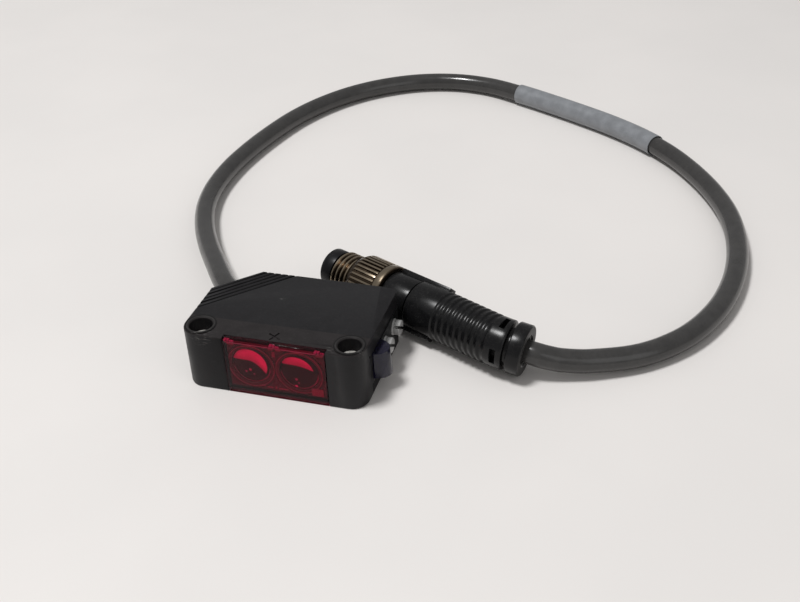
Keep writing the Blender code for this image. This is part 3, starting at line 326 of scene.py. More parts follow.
def finished(name, shape, surface, sharp=35.0, doubles=MERGE_REACH):
    """Makes a bmesh an object at the origin, merged, with its normals out and its sharp edges kept."""
    bmesh.ops.remove_doubles(shape, verts=shape.verts, dist=doubles)
    bmesh.ops.recalc_face_normals(shape, faces=shape.faces)
    mesh = bpy.data.meshes.new(name)
    shape.to_mesh(mesh)
    shape.free()
    mesh.shade_smooth()
    mesh.set_sharp_from_angle(angle=math.radians(sharp))
    mesh.materials.clear()
    mesh.materials.append(surface)
    made = bpy.data.objects.new(name, mesh)
    bpy.context.scene.collection.objects.link(made)
    return made


def stretch_of(line, start, end, spacing):
    """Evenly spaced points along a part of a line."""
    lengths = [0.0]
    for before, after in zip(line, line[1:]):
        lengths.append(lengths[-1] + (after - before).length)
    count = round((end - start) / spacing)
    spots = []
    index = 0
    for step in range(count + 1):
        at = start + (end - start) * step / count
        while index < len(line) - 2 and lengths[index + 1] < at:
            index += 1
        share = (at - lengths[index]) / (lengths[index + 1] - lengths[index])
        spots.append(line[index].lerp(line[index + 1], share))
    return spots


film_line = stretch_of(cable_line, MARKER_START, MARKER_START + MARKER_LENGTH, MARKER_SPACING)
film_tube = tube("film_tube", film_line, MARKER_RADIUS, 40)
film = bmesh.new()
view = bpy.context.evaluated_depsgraph_get()
film.from_mesh(bpy.data.meshes.new_from_object(film_tube.evaluated_get(view)))
bpy.data.objects.remove(film_tube, do_unlink=True)
bmesh.ops.remove_doubles(film, verts=film.verts, dist=MERGE_REACH)
bmesh.ops.recalc_face_normals(film, faces=film.faces)
bmesh.ops.solidify(film, geom=film.faces[:], thickness=MARKER_THICKNESS)
marker_surface = moulded("pale film", (0.215, 0.225, 0.240), 0.34, 5.0, 0.004, 0.0, 0.0)
marker = finished("marker_sleeve", film, marker_surface)
fit(marker, "sensor", "marker_sleeve", "cable_marker")


# Plug grip
# One black moulding over the end of the cable: a smooth neck with two long channelled key bars, a ribbed
# grip, four small pockets that let its end flex, and a round end flange. Its soft end is bent.
PLUG_SPOT = (18.0 * MM, 21.18 * MM, 4.97 * MM)
PLUG_ANGLE = math.radians(-25.05)
PLUG_STEPS = 96
NECK_LENGTH = 5.9 * MM
NECK_RADIUS = 4.2 * MM
GRIP_RADIUS = 4.47 * MM
GRIP_REAR_RADIUS = 4.3 * MM
RIB_COUNT = 9
RIB_START = 5.8 * MM
RIB_PITCH = 1.25 * MM
RIB_GROOVE = 0.84 * MM
RIB_DEPTH = 0.3 * MM
BEND_START = 15.8 * MM
BEND_LENGTH = 3.5 * MM
BEND_ANGLE = math.radians(16.5)
BEND_DROOP = math.radians(22.0)
RELIEF_START = 17.0 * MM
RELIEF_END = 19.1 * MM
FLANGE_START = 19.75 * MM
FLANGE_END = 22.15 * MM
FLANGE_RADIUS = 4.4 * MM
RELIEF_CORE = 3.2 * MM
SOCKET_RADIUS = 2.3 * MM
SOCKET_DEPTH = 1.3 * MM
BAR_WIDTH = 1.9 * MM
BAR_RADIUS = 4.9 * MM
BAR_LENGTH = 10.7 * MM
CHANNEL_HALF_WIDTH = 0.32 * MM
CHANNEL_DEPTH = 0.2 * MM
CORNER = 0.2 * MM
SPIGOT_RADIUS = 3.15 * MM
SPIGOT_START = -4.4 * MM
PAST = 1 * MM
POCKET_START = 17.6 * MM
POCKET_LENGTH = 0.8 * MM
POCKET_WIDTH = 2.8 * MM
POCKET_DEPTH = 1.3 * MM

plug_place = Matrix.Translation(PLUG_SPOT) @ Matrix.Rotation(PLUG_ANGLE, 4, "Z")


def bevelled(shape, geometry, width, segments=2, affect="EDGES"):
    """Rounds the given edges or corners of a shape, and stops where two roundings meet."""
    bmesh.ops.bevel(
        shape,
        geom=geometry,
        offset=width,
        offset_type="OFFSET",
        segments=segments,
        profile=0.5,
        affect=affect,
        clamp_overlap=True,
        material=-1,
    )


def turned(profile, steps=PLUG_STEPS, rounding=0.08 * MM, closed=False):
    """Spins a profile of (along, radius) points about local X. Its corners are rounded first."""
    shape = bmesh.new()
    line = [shape.verts.new((along, 0, radius)) for along, radius in profile]
    for first, second in zip(line, line[1:]):
        shape.edges.new((first, second))
    if closed:
        shape.edges.new((line[-1], line[0]))
    corners = line if closed else line[1:-1]
    if rounding:
        bevelled(shape, corners, rounding, affect="VERTICES")
    geometry = shape.verts[:] + shape.edges[:]
    bmesh.ops.spin(
        shape,
        geom=geometry,
        cent=(0, 0, 0),
        axis=(1, 0, 0),
        angle=2 * math.pi,
        steps=steps,
        use_merge=True,
    )
    bmesh.ops.remove_doubles(shape, verts=shape.verts, dist=MERGE_REACH)
    bmesh.ops.recalc_face_normals(shape, faces=shape.faces)
    return shape


def block(low, high, turn=None, rounding=0.0):
    """A box between two corners, its edges rounded."""
    shape = bmesh.new()
    low = Vector(low)
    high = Vector(high)
    place = Matrix.Translation((low + high) / 2) @ Matrix.Diagonal((*(high - low), 1.0))
    bmesh.ops.create_cube(shape, size=1.0, matrix=place)
    if rounding:
        bevelled(shape, shape.edges[:], rounding)
    if turn:
        bmesh.ops.transform(shape, matrix=turn, verts=shape.verts)
    bmesh.ops.recalc_face_normals(shape, faces=shape.faces)
    return shape


def shaped(piece, tool, operation="DIFFERENCE"):
    """Cuts a tool's shape out of a piece, or joins it on, and keeps the result in the piece's mesh."""
    mesh = bpy.data.meshes.new("tool")
    tool.to_mesh(mesh)
    tool.free()
    helper = bpy.data.objects.new("tool", mesh)
    bpy.context.scene.collection.objects.link(helper)
    step = piece.modifiers.new("shape", "BOOLEAN")
    step.operation = operation
    step.solver = "EXACT"
    step.object = helper
    view = bpy.context.evaluated_depsgraph_get()
    changed = bpy.data.meshes.new_from_object(piece.evaluated_get(view))
    piece.modifiers.clear()
    piece.data = changed
    bpy.data.objects.remove(helper, do_unlink=True)


def soften(piece, sharp=35.0):
    """Shades a carved piece smooth again, apart from its sharp edges."""
    piece.data.shade_smooth()
    piece.data.set_sharp_from_angle(angle=math.radians(sharp))


def bent(spot):
    """Where a point of the straight grip lies once its end gives way to the side and down."""
    past = spot.x - BEND_START
    if past <= 0:
        return spot
    radius = BEND_LENGTH / BEND_ANGLE
    curved = min(past, BEND_LENGTH)
    turn = BEND_ANGLE * curved / BEND_LENGTH
    along = Vector((1, 0, 0))
    toward = Vector((0, math.cos(BEND_DROOP), -math.sin(BEND_DROOP)))
    level = Vector((0, math.sin(BEND_DROOP), math.cos(BEND_DROOP)))
    forward = along * math.cos(turn) + toward * math.sin(turn)
    side = toward * math.cos(turn) - along * math.sin(turn)
    middle = along * (BEND_START + radius * math.sin(turn)) + toward * radius * (1 - math.cos(turn))
    return middle + forward * (past - curved) + side * spot.dot(toward) + level * spot.dot(level)


grip_profile = [
    (SPIGOT_START, 0),
    (SPIGOT_START, SPIGOT_RADIUS),
    (-NECK_LENGTH, SPIGOT_RADIUS),
    (-NECK_LENGTH, NECK_RADIUS - CORNER),
    (CORNER - NECK_LENGTH, NECK_RADIUS),
    (-0.42 * MM, NECK_RADIUS),
    (-0.36 * MM, NECK_RADIUS - 0.35 * MM),
    (0, NECK_RADIUS - 0.35 * MM),
    (0, GRIP_RADIUS - 0.1 * MM),
    (0.1 * MM, GRIP_RADIUS),
]
for rib in range(RIB_COUNT):
    start = RIB_START + rib * RIB_PITCH
    radius = GRIP_RADIUS + (GRIP_REAR_RADIUS - GRIP_RADIUS) * start / RELIEF_START
    grip_profile += [
        (start, radius),
        (start + RIB_GROOVE * 0.22, radius - RIB_DEPTH),
        (start + RIB_GROOVE * 0.78, radius - RIB_DEPTH),
        (start + RIB_GROOVE, radius),
    ]
relief_length = RELIEF_END - CORNER - RELIEF_START
for share in range(5):
    grip_profile.append((RELIEF_START + relief_length * share / 4, GRIP_REAR_RADIUS))
grip_profile += [
    (RELIEF_END, GRIP_REAR_RADIUS - CORNER),
    (RELIEF_END, RELIEF_CORE),
    (FLANGE_START, RELIEF_CORE),
    (FLANGE_START, FLANGE_RADIUS - CORNER),
    (FLANGE_START + CORNER, FLANGE_RADIUS),
    (FLANGE_END - CORNER, FLANGE_RADIUS),
    (FLANGE_END, FLANGE_RADIUS - CORNER),
    (FLANGE_END, SOCKET_RADIUS + 0.5 * MM),
    (FLANGE_END - 0.35 * MM, SOCKET_RADIUS + 0.3 * MM),
    (FLANGE_END - 0.35 * MM, SOCKET_RADIUS),
    (FLANGE_END - SOCKET_DEPTH, SOCKET_RADIUS),
    (FLANGE_END - SOCKET_DEPTH, 0),
]
grip_black = (0.0060, 0.0060, 0.0065)
grip_surface = moulded("black grip moulding", grip_black, 0.24, 5.0, 0.003, 0.06, 0.2, 0.24)
grip = finished("grip", turned(grip_profile, rounding=0.05 * MM), grip_surface)
# The grip's end face is painted lighter: painted light for the light it catches from the right.
lit_end_face = moulded("grip end painted lighter", (0.034, 0.033, 0.032), 0.5, 3.0, 0.006, 0.0, 0.2, 0.3)
grip.data.materials.append(lit_end_face)
for face in grip.data.polygons:
    if face.center.x > FLANGE_END - 0.02 * MM:
        face.material_index = 1
bar_start = 0.2 * MM - NECK_LENGTH
bar_low = (bar_start, -BAR_WIDTH / 2, NECK_RADIUS - 0.3 * MM)
bar_high = (bar_start + BAR_LENGTH, BAR_WIDTH / 2, BAR_RADIUS)
channel_low = (1.4 * MM - NECK_LENGTH, -CHANNEL_HALF_WIDTH, BAR_RADIUS - CHANNEL_DEPTH)
channel_high = (BAR_LENGTH - NECK_LENGTH - 1.0 * MM, CHANNEL_HALF_WIDTH, BAR_RADIUS + PAST)
for tilt in (-45, 135):
    turn = Matrix.Rotation(math.radians(tilt), 4, "X")
    shaped(grip, block(bar_low, bar_high, turn, 0.15 * MM), "UNION")
    shaped(grip, block(channel_low, channel_high, turn))
pocket_low = (POCKET_START, -POCKET_WIDTH / 2, GRIP_REAR_RADIUS - POCKET_DEPTH)
pocket_high = (POCKET_START + POCKET_LENGTH, POCKET_WIDTH / 2, GRIP_REAR_RADIUS + PAST)
for quarter in range(4):
    turn = Matrix.Rotation(math.radians(90 * quarter), 4, "X")
    shaped(grip, block(pocket_low, pocket_high, turn))
for point in grip.data.vertices:
    point.co = plug_place @ bent(point.co.copy())
soften(grip, 30)
fit(grip, "sensor", "grip", "plug_grip")


# Contact carrier and pins
# A black insulating body through the nut, with a round collar in front whose mouth takes the mating
# socket. A key in the mouth sets the turn, and four gold-plated pins stand on its floor.
COLLAR_REAR = -18.1 * MM
COLLAR_FRONT = -20.6 * MM
COLLAR_RADIUS = 3.6 * MM
CARRIER_RADIUS = 3.05 * MM
CAVITY_RADIUS = 2.7 * MM
CAVITY_FLOOR = -15.6 * MM
CARRIER_REAR = -4.5 * MM
PIN_RADIUS = 0.5 * MM
PIN_ROOT = -14.6 * MM
PIN_CIRCLE = 1.5 * MM
PIN_LENGTH = 3.6 * MM

carrier_profile = [
    (CARRIER_REAR, 0),
    (CARRIER_REAR, CARRIER_RADIUS),
    (COLLAR_REAR, CARRIER_RADIUS),
    (COLLAR_REAR, COLLAR_RADIUS),
    (COLLAR_FRONT + 0.25 * MM, COLLAR_RADIUS),
    (COLLAR_FRONT, COLLAR_RADIUS - 0.25 * MM),
    (COLLAR_FRONT, CAVITY_RADIUS + 0.2 * MM),
    (COLLAR_FRONT + 0.2 * MM, CAVITY_RADIUS),
    (CAVITY_FLOOR, CAVITY_RADIUS),
    (CAVITY_FLOOR, 0),
]
carrier_black = (0.0060, 0.0056, 0.0066)
carrier_surface = moulded("black carrier moulding", carrier_black, 0.32, 6.0, 0.003, 0.04, 0.2, 0.2)
carrier = finished("carrier", turned(carrier_profile), carrier_surface)
key_low = (COLLAR_FRONT + 0.5 * MM, -0.4 * MM, CAVITY_RADIUS - 0.4 * MM)
key_high = (CAVITY_FLOOR + 0.1 * MM, 0.4 * MM, CAVITY_RADIUS + 0.2 * MM)
shaped(carrier, block(key_low, key_high), "UNION")
carrier.data.transform(plug_place)
soften(carrier)
fit(carrier, "sensor", "carrier", "contact_carrier")

# Every plated metal piece shares this: fine turning marks, and cloudy patches of a brown film.
plated_skin, given, result = new_group(
    "plated skin",
    (
        ("Color", "Color", (0.6, 0.55, 0.48, 1.0)),
        ("Tarnish", "Color", (0.10, 0.06, 0.035, 1.0)),
        ("Roughness", "Float", 0.25),
        ("Film", "Float", 0.3),
    ),
    (("Color", "Color"), ("Roughness", "Float"), ("Height", "Float")),
)
tree = plated_skin
place = millimetres(tree)
fine = noise(tree, place, 9.0, 2.0)
clouds = noise(tree, place, 1.1, 4.0, 0.6)
film_mask = times(tree, ramp(tree, clouds, 0.42, 0.68), given.outputs["Film"])
tone = blend_colours(tree, film_mask, given.outputs["Color"], given.outputs["Tarnish"])
uneven = ramp(tree, clouds, 0.3, 0.7, -0.05, 0.12)
gloss = maths(tree, "ADD", given.outputs["Roughness"], uneven)
tree.links.new(tone, result.inputs["Color"])
tree.links.new(gloss, result.inputs["Roughness"])
tree.links.new(fine, result.inputs["Height"])


def plated(name, colour, roughness, tarnish=(0.10, 0.06, 0.035), film=0.3, depth=0.002):
    """A plated metal with its tarnish and fine marks."""
    made, tree, shader = new_material(name)
    inputs = {"Color": (*colour, 1.0), "Tarnish": (*tarnish, 1.0), "Roughness": roughness, "Film": film}
    skin = add_node(tree, "Group", node_tree=plated_skin)
    for key, value in inputs.items():
        skin.inputs[key].default_value = value
    dress(tree, skin, shader, depth)
    shader.inputs["Metallic"].default_value = 1.0
    return made


pin_surface = plated("gold plating", (0.83, 0.62, 0.27), 0.18, (0.45, 0.28, 0.10), 0.2)
for number in range(4):
    tip = CAVITY_FLOOR - PIN_LENGTH
    pin_profile = [(PIN_ROOT, 0), (PIN_ROOT, PIN_RADIUS), (tip + 0.4 * MM, PIN_RADIUS)]
    pin_profile += [(tip + 0.12 * MM, 0.33 * MM), (tip, 0.16 * MM), (tip, 0)]
    pin = finished(f"pin_{number + 1}", turned(pin_profile, 32, 0.05 * MM), pin_surface)
    turn = math.radians(45 + 90 * number)
    spot = Matrix.Translation((0, PIN_CIRCLE * math.cos(turn), PIN_CIRCLE * math.sin(turn)))
    pin.data.transform(plug_place @ spot)
    fit(pin, "sensor", "contact", f"contact_pin_{number + 1}")


# Coupling nut
# Turned brass, plated with nickel. A plain rear rim, a straight knurl of 36 teeth, a chamfered shoulder
# and a sleeve with the plug's outer thread, 8 mm by 1. It turns freely on the carrier.
NUT_REAR = -6.0 * MM
NUT_FRONT = -13.8 * MM
THREAD_FRONT = -18.0 * MM
NUT_RADIUS = 4.95 * MM
NUT_BORE = 3.2 * MM
KNURL_COUNT = 36
KNURL_START = -7.6 * MM
KNURL_END = -12.4 * MM
KNURL_DEPTH = 0.28 * MM
POINTS_PER_TOOTH = 8
THREAD_PITCH = 1.0 * MM
THREAD_CORE = 3.5 * MM
THREAD_CREST = 3.92 * MM
THREAD_TURNS = 3.6
TURN_STEPS = 64
# How much of the painted highlight the plain rim's face loses.
RIM_HIGHLIGHT_CUT = 0.65

ring_points = KNURL_COUNT * POINTS_PER_TOOTH
nut_shape = bmesh.new()
bmesh.ops.create_circle(nut_shape, segments=ring_points, radius=1.0)
bmesh.ops.transform(nut_shape, matrix=Matrix.Rotation(math.radians(90), 4, "Y"), verts=nut_shape.verts)


def tooth_shape(turn):
    """From 0 on a tooth's top to 1 on the floor of the groove beside it."""
    part = turn / (2 * math.pi) * KNURL_COUNT % 1
    if part < 0.42 or part > 0.95:
        return 0.0
    if 0.49 < part < 0.88:
        return 1.0
    return 0.5


def set_ring(points, along, radius, depth):
    """Puts a ring of points at a place on the axis, with its grooves cut to a depth."""
    for point in points:
        turn = math.atan2(point.co.z, point.co.y)
        reach = radius - depth * tooth_shape(turn)
        point.co = (along, reach * math.cos(turn), reach * math.sin(turn))


nut_sections = (
    (NUT_REAR, NUT_BORE, 0),
    (NUT_REAR, 4.62 * MM, 0),
    (NUT_REAR - 0.06 * MM, 4.80 * MM, 0),
    (NUT_REAR - 0.20 * MM, 4.92 * MM, 0),
    (NUT_REAR - 0.40 * MM, NUT_RADIUS, 0),
    (KNURL_START + 0.28 * MM, NUT_RADIUS, 0),
    (KNURL_START + 0.16 * MM, 4.90 * MM, 0),
    (KNURL_START + 0.10 * MM, 4.78 * MM, 0.02 * MM),
    (KNURL_START, 4.78 * MM, 0.14 * MM),
    (KNURL_START - 0.10 * MM, 4.90 * MM, KNURL_DEPTH * 0.9),
    (KNURL_START - 0.22 * MM, 4.93 * MM, KNURL_DEPTH),
    (KNURL_END, 4.93 * MM, KNURL_DEPTH),
    (KNURL_END - 0.25 * MM, 4.83 * MM, KNURL_DEPTH * 0.68),
    (KNURL_END - 0.60 * MM, 4.64 * MM, 0.02 * MM),
    (NUT_FRONT + 0.08 * MM, 4.20 * MM, 0),
    (NUT_FRONT, 4.10 * MM, 0),
    (NUT_FRONT, THREAD_CORE, 0),
    (THREAD_FRONT + 0.25 * MM, THREAD_CORE, 0),
    (THREAD_FRONT, THREAD_CORE - 0.12 * MM, 0),
    (THREAD_FRONT, NUT_BORE, 0),
)
ring = nut_shape.verts[:]
set_ring(ring, *nut_sections[0])
edges = nut_shape.edges[:]
for section in nut_sections[1:] + nut_sections[:1]:
    grown = bmesh.ops.extrude_edge_only(nut_shape, edges=edges)["geom"]
    ring = [item for item in grown if isinstance(item, bmesh.types.BMVert)]
    edges = [item for item in grown if isinstance(item, bmesh.types.BMEdge)]
    set_ring(ring, *section)
    inside = set(ring)
    edges = [edge for edge in edges if edge.verts[0] in inside and edge.verts[1] in inside]
nut_surface = plated("nickel on brass", (0.56, 0.50, 0.41), 0.24, (0.055, 0.038, 0.026), 0.30)
tree = nut_surface.node_tree
skin = next(item for item in tree.nodes if item.type == "GROUP")
from_axis = vectors(tree, "SUBTRACT", millimetres(tree), Vector(PLUG_SPOT) / MM)[0]
axis = (math.cos(PLUG_ANGLE), math.sin(PLUG_ANGLE), 0.0)
reach = vectors(tree, "LENGTH", vectors(tree, "CROSS_PRODUCT", from_axis, axis)[0])["Value"]
# Radii in millimetres: the thread's crests, then the tops of the knurl and the plain rear rim. These are
# painted lighter as a painted highlight, the plain rim's face less so, and the low places between them
# are dark brown, part tarnish and part painted shade.
crest_highlight = times(tree, ramp(tree, reach, 3.68, 3.90), ramp(tree, reach, 4.02, 3.94))
crest_highlight = maths(tree, "MAXIMUM", crest_highlight, ramp(tree, reach, 4.78, 4.93))
along = vectors(tree, "DOT_PRODUCT", from_axis, axis)["Value"]
plain = times(tree, ramp(tree, along, -7.75, -7.6), ramp(tree, reach, 4.97, 4.90))
crest_highlight = times(tree, crest_highlight, minus(tree, 1.0, times(tree, plain, RIM_HIGHLIGHT_CUT)))
wear_and_crest_highlight = blend_colours(tree, crest_highlight, (0.065, 0.046, 0.031, 1.0), (0.34, 0.28, 0.205, 1.0))
tree.links.new(wear_and_crest_highlight, skin.inputs["Color"])
nut = finished("nut", nut_shape, nut_surface, 28)

thread = bmesh.new()
half_base = THREAD_PITCH * 0.42
thread_start = NUT_FRONT - 0.45 * MM
corners = (
    (thread_start + half_base, THREAD_CORE - 0.1 * MM),
    (thread_start + 0.10 * MM, THREAD_CREST),
    (thread_start - 0.10 * MM, THREAD_CREST),
    (thread_start - half_base, THREAD_CORE - 0.1 * MM),
)
points = [thread.verts.new((along, 0, radius)) for along, radius in corners]
for index in range(len(points)):
    thread.edges.new((points[index - 1], points[index]))
turns = int(TURN_STEPS * THREAD_TURNS)
wound = bmesh.ops.spin(
    thread,
    geom=thread.verts[:] + thread.edges[:],
    cent=(0, 0, 0),
    axis=(1, 0, 0),
    dvec=(-THREAD_PITCH / TURN_STEPS, 0, 0),
    angle=2 * math.pi * THREAD_TURNS,
    steps=turns,
)
thread.faces.new(points)
thread.faces.new([item for item in wound["geom_last"] if isinstance(item, bmesh.types.BMVert)])
thread_piece = finished("nut_thread", thread, nut_surface, 28)
for made in (nut, thread_piece):
    made.data.transform(plug_place)
fit(nut, "nut", "nut", "coupling_nut")
fit(thread_piece, "nut", "nut")


# Case
# One black moulding of glass-filled plastic with bosses round two mounting holes, finger grooves beside
# the cable corner and a slightly lower band by the lens. The small cross shows where the beam starts.
CASE_TOP = 10.8 * MM
MARK_DEPTH = 0.20 * MM
MARK_WIDTH = 0.32 * MM
MARK_STROKES = (
    ((-0.80, 0.06), (1.42, -1.12)),
    ((0.76, 0.52), (-0.17, -1.48)),
)
SCUFF_SPOTS = (
    ((-11.6, -2.6, 10.5), 2.4),
    ((-2.3, 9.9, 10.8), 0.7),
    ((10.4, -1.6, 10.7), 1.3),
    ((14.9, -1.2, 10.4), 1.2),
)
DIMPLE_SPOT = (15.5 * MM, 1.1 * MM, 8.0 * MM)
DIMPLE_RADIUS = 0.28 * MM
HOLE_REACH = 12.7
BAND_EDGE = 2.27
BAND_SLOPE = 0.008
CASE_COLOUR = (0.0115, 0.0110, 0.0122)
BAND_LIGHT_COLOUR = (0.0190, 0.0165, 0.0170, 1.0)
GROOVE_SHADE_COLOUR = (0.0030, 0.0030, 0.0032, 1.0)
LIP_HIGHLIGHT_COLOUR = (0.0230, 0.0215, 0.0215, 1.0)
CREASE_SHADE_COLOUR = (0.0030, 0.0028, 0.0030, 1.0)
SCUFF_COLOUR = (0.085, 0.082, 0.080, 1.0)


def make_flats_whole(shape):
    """Removes the edges inside the flat faces of a shape."""
    angle = math.radians(0.5)
    bmesh.ops.dissolve_limit(shape, angle_limit=angle, verts=shape.verts, edges=shape.edges)


def merged_copy(node):
    """A CAD node's shape as a bmesh with its loose triangles joined and its flat faces made whole."""
    shape = bmesh.new()
    shape.from_mesh(nodes[node].data)
    bmesh.ops.remove_doubles(shape, verts=shape.verts, dist=1e-6)
    make_flats_whole(shape)
    return shape


case_surface = moulded("black case moulding", CASE_COLOUR, 0.42, 5.5, 0.005, 0.04, 0.10, 0.20)
tree = case_surface.node_tree
shader = tree.nodes["Principled BSDF"]
place = add_node(tree, "SeparateXYZ", {0: millimetres(tree)}).outputs
skin = next(item for item in tree.nodes if item.type == "GROUP")
# Painted light: the slightly sloped band by the lens is painted lighter, where its slope catches more
# light.
edge_line = maths(tree, "ADD", times(tree, place["X"], BAND_SLOPE), BAND_EDGE)
band_light = ramp(tree, minus(tree, edge_line, place["Y"]), -0.06, 0.06)
band_light = times(tree, band_light, ramp(tree, place["Z"], 10.3, 10.5))
painted_light_and_shade = blend_colours(tree, band_light, (*CASE_COLOUR, 1.0), BAND_LIGHT_COLOUR)
# Painted shade: the floors of the finger grooves are painted near black.
groove_shade = times(tree, ramp(tree, place["Z"], 10.75, 10.66), ramp(tree, place["Z"], 10.25, 10.32))
groove_shade = times(tree, groove_shade, ramp(tree, place["Y"], 4.0, 4.4))
groove_shade = times(tree, groove_shade, ramp(tree, place["X"], 4.0, 3.0))
painted_light_and_shade = blend_colours(tree, groove_shade, painted_light_and_shade, GROOVE_SHADE_COLOUR)
# Round each hole the inner lip is painted lighter as a painted highlight, and the crease round its boss
# darker as painted shade.
flat_place = millimetres(tree, (1.0, 1.0, 0.0))
for side in (-1, 1):
    away = vectors(tree, "DISTANCE", flat_place, (side * HOLE_REACH, 0, 0))["Value"]
    away = maths(tree, "ADD", away, ramp(tree, place["Z"], 10.0, 9.8))
    lip_highlight = times(tree, ramp(tree, away, 2.0, 2.1), ramp(tree, away, 2.40, 2.32))
    painted_light_and_shade = blend_colours(tree, lip_highlight, painted_light_and_shade, LIP_HIGHLIGHT_COLOUR)
    crease_shade = times(tree, ramp(tree, away, 2.34, 2.42), ramp(tree, away, 2.64, 2.54))
    painted_light_and_shade = blend_colours(tree, crease_shade, painted_light_and_shade, CREASE_SHADE_COLOUR)
tree.links.new(painted_light_and_shade, skin.inputs["Color"])
wear_and_crest_highlight = 0.0
for spot, radius in SCUFF_SPOTS:
    away = vectors(tree, "DISTANCE", millimetres(tree), spot)["Value"]
    wear_and_crest_highlight = maths(tree, "MAXIMUM", ramp(tree, away, radius, radius * 0.3), wear_and_crest_highlight)
marks = noise(tree, millimetres(tree, (0.5, 2.0, 2.0)), 2.2, 4.0, 0.7)
wear_and_crest_highlight = times(tree, wear_and_crest_highlight, ramp(tree, marks, 0.52, 0.62))
pale = blend_colours(tree, wear_and_crest_highlight, skin.outputs["Color"], SCUFF_COLOUR)
tree.links.new(pale, shader.inputs["Base Color"])
case = finished("case_shell", merged_copy("case"), case_surface, 30, 1e-6)
for start, end in MARK_STROKES:
    start = Vector((*start, 0)) * MM
    end = Vector((*end, 0)) * MM
    along = end - start
    heading = Matrix.Rotation(math.atan2(along.y, along.x), 4, "Z")
    turn = Matrix.Translation((start + end) / 2) @ heading
    low = (-along.length / 2, -MARK_WIDTH / 2, CASE_TOP - 0.1 * MM - MARK_DEPTH)
    high = (along.length / 2, MARK_WIDTH / 2, CASE_TOP + PAST)
    shaped(case, block(low, high, turn))
dimple = bmesh.new()
spot = Matrix.Translation(DIMPLE_SPOT)
bmesh.ops.create_uvsphere(dimple, u_segments=20, v_segments=12, radius=DIMPLE_RADIUS, matrix=spot)
shaped(case, dimple)
soften(case, 30)
fit(case, "sensor", "case", "case")


# Cable gland
# A black moulded plug with a flange, pressed into the cut-off corner, where the cable comes out.
gland_spot = Matrix.Translation((-12.1 * MM, 13.8 * MM, CASE_TOP / 2))
gland_place = gland_spot @ Matrix.Rotation(math.radians(135), 4, "Z")
gland_profile = [
    (-5.0 * MM, 0),
    (-5.0 * MM, 2.4 * MM),
    (-4.6 * MM, 2.8 * MM),
    (0.1 * MM, 2.8 * MM),
    (0.1 * MM, 3.3 * MM),
    (0.9 * MM, 3.3 * MM),
    (1.3 * MM, 2.9 * MM),
    (1.3 * MM, 2.55 * MM),
    (1.15 * MM, 2.3 * MM),
    (0.3 * MM, 2.3 * MM),
    (0.3 * MM, 0),
]
gland_black = (0.012, 0.012, 0.0125)
gland_surface = moulded("black gland moulding", gland_black, 0.45, 5.0, 0.006, 0.1, 0.1, 0.25)
gland = finished("gland", turned(gland_profile, 72), gland_surface)
gland.data.transform(gland_place)
fit(gland, "sensor", "gland", "cable_gland")


# Threaded sleeves
# A nickel-plated sleeve sits halfway down each mounting hole and keeps the screw from crushing the case.
SLEEVE_BORE = 1.25 * MM
SLEEVE_GROOVE = 1.48 * MM
SLEEVE_PITCH = 0.5 * MM

sleeve_profile = [(-2.8 * MM, 1.9 * MM), (2.9 * MM, 1.9 * MM), (3.0 * MM, 1.8 * MM)]
sleeve_profile += [(3.0 * MM, 1.65 * MM), (2.6 * MM, SLEEVE_BORE)]
for groove in range(10):
    along = 2.3 * MM - groove * SLEEVE_PITCH
    sleeve_profile.append((along, SLEEVE_BORE))
    sleeve_profile += [(along - 0.22 * MM, SLEEVE_GROOVE), (along - 0.28 * MM, SLEEVE_GROOVE)]
sleeve_profile += [(-2.7 * MM, SLEEVE_BORE), (-2.8 * MM, 1.4 * MM)]
sleeve_surface = plated("bright sleeve plating", (0.78, 0.76, 0.72), 0.16, (0.30, 0.26, 0.20), 0.2)
for name, side in (("left", -1), ("right", 1)):
    sleeve = finished(f"{name}_sleeve", turned(sleeve_profile, 56, 0, closed=True), sleeve_surface)
    spot = Matrix.Translation((side * HOLE_REACH * MM, 0, CASE_TOP / 2))
    sleeve.data.transform(spot @ Matrix.Rotation(math.radians(-90), 4, "Y"))
    fit(sleeve, "sensor", "insert", f"{name}_insert")


# Lens holder, lenses and what is behind them
# A dark plate carries two round lenses behind the red window. Light from above shows in each lens as a
# bright crescent, because the lens turns the lit wall of its tunnel upside down. The crescent, a faint
# lit rim low on each lens and a few glints are painted into the lens's colour as painted light.
LENS_RADIUS = 3.3 * MM
LENS_MIDDLE = 5.4 * MM
RECEIVER_X = -3.6 * MM
EMITTER_X = 4.6 * MM
HOLDER_FRONT = -2.2 * MM
LENS_FRONT = -2.1 * MM
LENS_DARK = (0.016, 0.012, 0.012, 1.0)
CRESCENT_LIGHT_COLOUR = (0.90, 0.34, 0.74, 1.0)


def on_lens_axis(middle, front):
    """The place of a turned shape whose axis runs back through a lens."""
    return Matrix.Translation((middle, front, LENS_MIDDLE)) @ Matrix.Rotation(math.radians(90), 4, "Z")


holder_grey = (0.075, 0.06, 0.065)
holder_surface = moulded("lens holder moulding", holder_grey, 0.5, 1.2, 0.02, 0.0, 0.2, 0.1)
holder = finished("lens_holder", merged_copy("lens_frame"), holder_surface, 30, 1e-6)
for middle in (RECEIVER_X, EMITTER_X):
    turn = on_lens_axis(middle, HOLDER_FRONT)
    groove = [
        (-0.5 * MM, 4.15 * MM),
        (-0.5 * MM, 4.40 * MM),
        (0.25 * MM, 4.34 * MM),
        (0.25 * MM, 4.20 * MM),
    ]
    lead = [(-0.5 * MM, 0), (-0.5 * MM, 3.9 * MM), (0.28 * MM, 3.30 * MM), (0.28 * MM, 0)]
    for profile, closed in ((groove, True), (lead, False)):
        cutter = turned(profile, 72, 0, closed)
        bmesh.ops.transform(cutter, matrix=turn, verts=cutter.verts)
        shaped(holder, cutter)
soften(holder, 30)
fit(holder, "sensor", "inner_plastic", "lens_frame")

